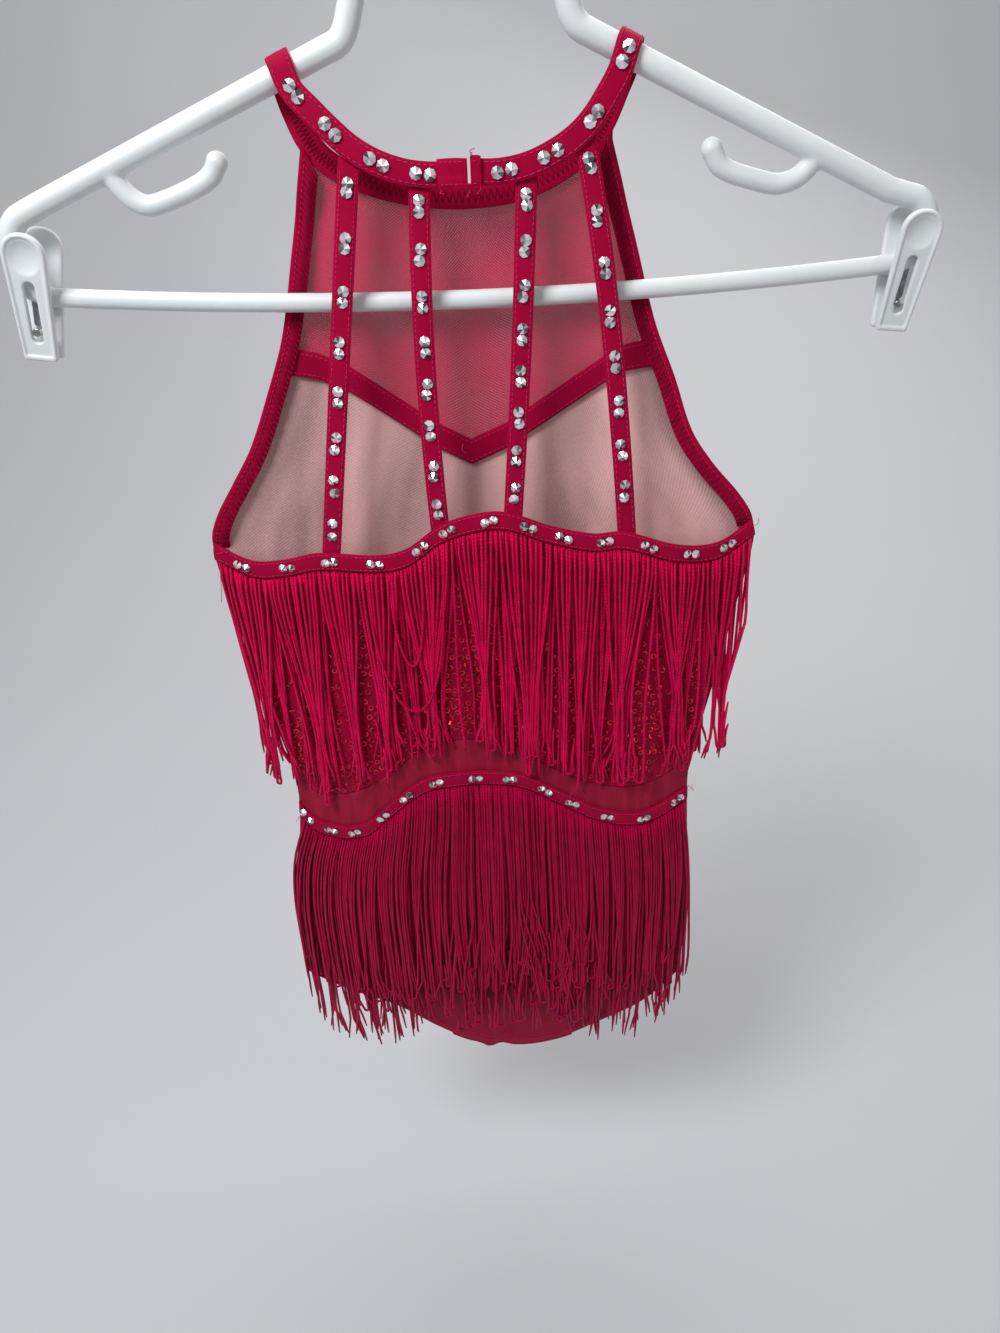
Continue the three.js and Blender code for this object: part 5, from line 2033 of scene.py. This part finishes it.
# ---- the hanger ----
NECK_ARCH = (
    (-58, 16), (-51, 19), (-48, 23), (-44.5, 33), (-39, 48), (-28, 60), (-12, 67), (0, 69), (12, 67),
    (27, 60), (38, 48), (43, 35), (45.5, 26), (48.5, 21.5), (54, 18.5),
)
STRAP_HOOKS = (
    ((-157, -25.5), (-150, -35.5), (-143, -39.5), (-134, -38), (-113, -29.3), (-109, -23.5)),
    ((154, -30), (147, -38), (138, -41), (128, -39), (111.5, -33), (107, -26)),
)


@dataclass
class Hanger:
    """A moulded frame with a cross bar, two strap hooks and a top hook, and a clip at each end."""

    bar_ends: float = -76.0
    bar_middle: float = -84.5
    corner: float = 12.0
    into_bend: float = 4.0
    hook_radius: float = 21.0
    hook_wire: float = 4.5
    hook_middle: float = 108.0
    voxel: float = 0.9

    def bend(self, x: float, z: float, radius: float, start: float, stop: float,
             steps: int) -> list[Spot]:
        """Points across and up on a round bend, from one angle to another, in degrees.

        Args:
            x: Its centre across.
            z: Its centre's height.
            radius: Its radius.
            start: The first angle.
            stop: The last angle.
            steps: How many stretches it has.

        Returns:
            The points.
        """
        turns = [math.radians(mix(start, stop, share)) for share in shares(steps)]
        return [(x + radius * math.cos(turn), z + radius * math.sin(turn)) for turn in turns]

    def rod(self, line: Sequence[Spot], radius: float) -> Piece:
        """A round rod in the plane y = 0, drawn out ring by ring.

        Args:
            line: Its middle line, across and up.
            radius: Its radius.

        Returns:
            The closed rod.
        """
        places = [in_frame(x, 0, z) for x, z in line]
        runs = [(b - a).normalized() for a, b in zip(places, places[1:])]
        ways = [runs[0], *[(a + b).normalized() for a, b in zip(runs, runs[1:])], runs[-1]]
        turn = math.atan2(ways[0].x, ways[0].z)
        rod = primitive("rod", "circle", vertices=20, radius=radius * MM, fill_type="NGON",
                        location=places[0], rotation=(0, turn, 0))
        with editing():
            for before, place, way in zip(places, places[1:], ways[1:]):
                bpy.ops.mesh.extrude_region_move(TRANSFORM_OT_translate={"value": place - before})
                following = math.atan2(way.x, way.z)
                change = (following - turn + math.pi) % (2 * math.pi) - math.pi
                if abs(change) > NO_TURN:
                    bpy.ops.transform.rotate(value=-change, orient_axis="Y", center_override=place)
                turn = following
            bpy.ops.mesh.select_all(action="SELECT")
            bpy.ops.mesh.normals_make_consistent(inside=False)
        return rod

    def ball(self, x: float, z: float, radius: float) -> Piece:
        """The round end of a strap hook."""
        return primitive("end", "uv_sphere", segments=20, ring_count=12, radius=radius * MM,
                         location=in_frame(x, 0, z))

    def dense(self, line: Sequence[Spot], per: int = 3) -> list[Spot]:
        """More points on a smooth line.

        Args:
            line: What it goes through.
            per: How many stretches each one becomes.

        Returns:
            The points.
        """
        points = [Vector((x, 0, z)) for x, z in line]
        steps = (len(points) - 1) * per
        smooth = [curve_through(points, share) for share in shares(steps)]
        return [(place.x, place.z) for place in smooth]

    def frame(self) -> None:
        """The frame: one rod round it, the bar and the hooks, fused as in a mould."""
        left_x, left_z = ARM_LEFT.outer[0] + 1.5, -58.0
        right_x, right_z = ARM_RIGHT.outer[0] - 1.5, -62.0
        loop = [
            *self.bend(left_x, left_z - 5, self.corner, 265, 185, 6),
            *self.bend(left_x, left_z + 5.5, self.corner, 185, 120, 6),
            (-190, ARM_LEFT.height(-190)), (-125, ARM_LEFT.height(-125)), *self.dense(NECK_ARCH),
            (122, ARM_RIGHT.height(122)), (188, ARM_RIGHT.height(188)),
            *self.bend(right_x, right_z + 3, self.corner, 58, -5, 6),
            *self.bend(right_x, right_z - 1, self.corner, -5, -85, 6),
        ]
        bar = [
            (mix(left_x - self.into_bend, right_x + self.into_bend, t),
             mix(self.bar_middle, self.bar_ends, (2 * t - 1) ** 2))
            for t in shares(16)
        ]
        hook = [
            (0, 68), (0, self.hook_middle - self.hook_radius - 6),
            *self.bend(0, self.hook_middle, self.hook_radius, -78, 200, 36),
        ]
        rods = [
            self.rod(loop, ARM_RADIUS), self.rod(bar, BAR_RADIUS), self.rod(hook, self.hook_wire),
            *[self.rod(self.dense(line, 4), STRAP_HOOK_RADIUS) for line in STRAP_HOOKS],
            *[self.ball(*line[-1], STRAP_HOOK_RADIUS + 0.3) for line in STRAP_HOOKS],
        ]
        clear_selection()
        for rod in rods:
            rod.select_set(True)
        bpy.context.view_layer.objects.active = rods[0]
        bpy.ops.object.join()
        made = bpy.context.object
        made.name = made.data.name = "hanger_frame_moulded"
        mould(made, self.voxel, 8)
        settle(made, Palette.PLASTIC, "hanger_frame", slot="white_plastic")

    def build(self) -> None:
        """Frame and clips."""
        self.frame()
        for row in CLIPS:
            Clip(row).build()


class ClipRow(NamedTuple):
    """Where a clip sits, how it leans and its scale."""

    side: str
    x: float
    z: float
    lean: float
    scale: float


CLIPS = (ClipRow("left", -201, -75.5, 8, 1.0), ClipRow("right", 199.5, -79, 6, 0.94))


@dataclass
class Clip:
    """Two tapered jaws with a slot each, a spring strip between them and a pin through both."""

    row: ClipRow
    height: float = 57.6
    top: float = 20.4
    bottom: float = 15.4
    thick: float = 3.8
    rim: float = 1.1
    open_top: float = 10.2
    open_bottom: float = 1.6
    slot: float = 5.2
    slot_length: float = 23.0
    slot_foot: float = 11.0
    pin_radius: float = 2.0
    pin_length: float = 13.0
    pin_foot: float = 13.5
    voxel: float = 0.4

    @property
    def place(self) -> Matrix:
        """The clip's place in the part's frame."""
        return (
            Matrix.Translation(in_frame(self.row.x, 0, self.row.z))
            @ Matrix.Rotation(math.radians(self.row.lean), 4, "Y") @ Matrix.Scale(self.row.scale, 4)
        )

    def cutter(self, name: str, wide: float, deep: float, high: float, z: float,
               y: float) -> Piece:
        """A block with round ends, to cut a slot or a dimple with.

        Args:
            name: Its name.
            wide: Its width.
            deep: Its depth along Y.
            high: Its height.
            z: Its middle's height.
            y: Its middle's depth.

        Returns:
            The block.
        """
        block = primitive(name, "cube", (wide * MM, deep * MM, high * MM), size=1,
                          location=(0, y * MM, z * MM))
        with picked(block, "EDGE", lambda a, b: abs(a.x - b.x) < NEAR and abs(a.z - b.z) < NEAR):
            bpy.ops.mesh.bevel(offset=min(wide, high) / 2 * 0.98 * MM, segments=8, affect="EDGES")
        return block

    def recess(self, jaw: Piece) -> Piece:
        """A smaller jaw that cuts the outer face back and leaves a raised border.

        Args:
            jaw: The jaw before its edges are rounded.

        Returns:
            The cutter.
        """
        mesh = jaw.data.copy()
        middle = Matrix.Translation((0, -self.thick / 2 * MM, 0.4 * MM))
        mesh.transform(middle @ Matrix.Diagonal((0.8, 0.42, 0.93, 1)))
        return link(bpy.data.objects.new("recess", mesh))

    def hollow(self) -> Piece:
        """A ball that cuts the hollow for a thumb."""
        return primitive("hollow", "uv_sphere", (8.8 * MM, 4.0 * MM, 9.6 * MM), segments=32, ring_count=20,
                         radius=1, location=(0, (-self.thick / 2 - 1.6) * MM, (self.height / 2 - 10.5) * MM))

    def jaw(self, face: int, name: str) -> Piece:
        """One jaw, upright, with its outer face towards -Y.

        Args:
            face: -1 for the jaw nearer the viewer and 1 for the other.
            name: The piece's name.

        Returns:
            The jaw, in its place.
        """
        jaw = primitive(name, "cube", (self.top * MM, self.thick * MM, self.height * MM), size=1)
        with picked(jaw, "VERT", lambda place: place.z < 0):
            bpy.ops.transform.resize(value=(self.bottom / self.top, 1, 1), center_override=(0, 0, 0))
        with picked(jaw, "EDGE", lambda a, b: a.z > 0 and b.z > 0 and abs(a.x - b.x) < NEAR):
            bpy.ops.mesh.bevel(offset=self.top / 2 * 0.96 * MM, segments=10, affect="EDGES")
        recess = self.recess(jaw)
        round_edges(jaw, self.rim, 4, 50)
        low = -self.height / 2 + self.slot_foot
        cutters = [
            self.cutter("slot", self.slot, 30, self.slot_length + self.slot, low + self.slot_length / 2, 0),
            recess, self.hollow(),
        ]
        for block in cutters:
            cut = jaw.modifiers.new(block.name, "BOOLEAN")
            cut.operation, cut.object, cut.solver = "DIFFERENCE", block, "EXACT"
        apply_modifiers(jaw)
        for block in cutters:
            bpy.data.objects.remove(block)
        mould(jaw, self.voxel, 9)
        tilt = math.atan2(self.open_top - self.open_bottom, self.height)
        middle = (self.open_top + self.open_bottom) / 2 + self.thick / 2
        turned = Matrix.Rotation(math.pi, 4, "Z") if face > 0 else Matrix.Identity(4)
        jaw.data.transform(
            self.place @ Matrix.Translation((0, face * middle * MM, 0))
            @ Matrix.Rotation(-face * tilt, 4, "X") @ turned)
        return jaw

    def build(self) -> None:
        """Both jaws, the spring strip and the pin."""
        for face, end in ((-1, "front"), (1, "back")):
            jaw = self.jaw(face, f"clip_{self.row.side}_{end}_jaw")
            settle(jaw, Palette.PLASTIC, f"clip_{self.row.side}_{end}", slot="white_plastic")
        pin = primitive(
            f"clip_pin_{self.row.side}_turned", "cylinder", vertices=24, radius=self.pin_radius * MM,
            depth=self.pin_length * MM, location=(0, 0, (self.pin_foot - self.height / 2) * MM),
            rotation=(math.pi / 2, 0, 0))
        round_edges(pin, 0.5, 3, 30)
        apply_modifiers(pin)
        bpy.ops.object.shade_smooth_by_angle(angle=math.radians(35))
        pin.data.transform(self.place)
        settle(pin, Palette.STEEL, f"clip_pin_{self.row.side}", slot="steel")
        strip = self.cutter(f"clip_spring_{self.row.side}", self.slot * 0.8, 0.8, self.slot_length * 0.86,
                            -self.height / 2 + self.slot_foot + self.slot_length * 0.62, -2.2)
        strip.data.transform(self.place)
        settle(strip, Palette.DARK_STEEL, slot="steel")


# ---- stage ----
class Lamp(NamedTuple):
    """A soft square light: its place, what it points at, its side in metres, its watts and its colour."""

    name: str
    place: Place
    aim: Place
    size: float
    power: float
    colour: Colour


LAMPS = (
    Lamp("window", (-0.5, -0.6, 0.52), (0, 0, -0.2), 0.42, 12.0, (0.96, 0.98, 1.0)),
    Lamp("room", (1.5, -1.2, 0.1), (0, 0, -0.4), 1.2, 4.5, (1.0, 0.92, 0.84)),
    Lamp("behind", (0.7, 1.5, 0.7), (0, 0, -0.4), 1.2, 12, (1, 1, 1)),
    Lamp("far wall", (0, 0.7, 1.6), (0, 2.6, -0.5), 2.0, 28, (1, 1, 1)),
)


@dataclass
class Stage:
    """Pale floor, soft light and the camera."""

    floor_z: float = -0.9
    wall_y: float = 2.4
    cove: float = 1.6
    image: tuple[int, int] = (1000, 1333)
    focal_pixels: float = 1000.0
    sensor: float = 36.0
    pitch: float = 30.0
    roll: float = 2.3
    eye: Place = (0.0055, -0.490, -0.1245)

    def floor(self) -> None:
        """A plain floor that runs up into a plain wall, far behind."""
        profile = [(-14.0, self.floor_z), (-2.0, self.floor_z), (self.wall_y - self.cove, self.floor_z)]
        for turn in [math.pi / 2 * i / 24 for i in range(1, 25)]:
            profile.append((self.wall_y - self.cove + self.cove * math.sin(turn),
                            self.floor_z + self.cove * (1 - math.cos(turn))))
        profile.append((self.wall_y, 4.0))
        points = [Vector((x, y, z)) for y, z in profile for x in (-14.0, 14.0)]
        faces = [(2 * i, 2 * i + 1, 2 * i + 3, 2 * i + 2) for i in range(len(profile) - 1)]
        floor = new_object("floor", points, faces)
        shader = Shader("pale floor")
        cloud = shader.noise(shader.place(False), 1.5)
        shader.set(Base_Color=shader.ramp(cloud, (0.3, (0.53, 0.54, 0.56)), (0.7, (0.56, 0.565, 0.585))),
                   Roughness=0.9)
        floor.data.materials.append(shader.made)

    def light(self, lamp: Lamp) -> None:
        """Sets up one light."""
        data = bpy.data.lights.new(lamp.name, "AREA")
        data.size, data.energy, data.color = lamp.size, lamp.power, lamp.colour
        holder = link(bpy.data.objects.new(lamp.name, data))
        holder.location = lamp.place
        aim = Vector(lamp.aim) - Vector(lamp.place)
        holder.rotation_euler = aim.to_track_quat("-Z", "Y").to_euler()

    def camera(self) -> None:
        """A camera that looks down at the garment's back, turned a little."""
        data = bpy.data.cameras.new("camera")
        data.sensor_width = self.sensor
        data.lens = self.sensor * self.focal_pixels / max(self.image)
        data.clip_start, data.clip_end = 0.02, 50
        camera = link(bpy.data.objects.new("camera", data))
        pitch, roll = math.radians(self.pitch), math.radians(self.roll)
        turned = Matrix((
            (math.cos(roll), math.sin(roll), 0),
            (-math.sin(roll) * math.sin(pitch), math.cos(roll) * math.sin(pitch), -math.cos(pitch)),
            (-math.sin(roll) * math.cos(pitch), math.cos(roll) * math.cos(pitch), math.sin(pitch)),
        ))
        placed = turned.to_4x4()
        placed.translation = Vector(self.eye)
        camera.matrix_world = placed
        bpy.context.scene.camera = camera

    def build(self) -> None:
        """Floor, lights, sky and camera."""
        self.floor()
        self.camera()
        for lamp in LAMPS:
            self.light(lamp)
        world = bpy.data.worlds.new("pale room")
        world.use_nodes = True
        sky = world.node_tree.nodes["Background"]
        sky.inputs["Color"].default_value = (0.78, 0.8, 0.83, 1)
        sky.inputs["Strength"].default_value = 0.34
        bpy.context.scene.world = world
        bpy.context.scene.view_settings.view_transform = "Standard"


def main() -> None:
    """Builds the garment, its hanger and the stage."""
    logging.basicConfig(level=logging.INFO, format="%(name)s: %(message)s")
    Garment().build()
    Hanger().build()
    Stage().build()


if __name__ == "__main__":
    main()
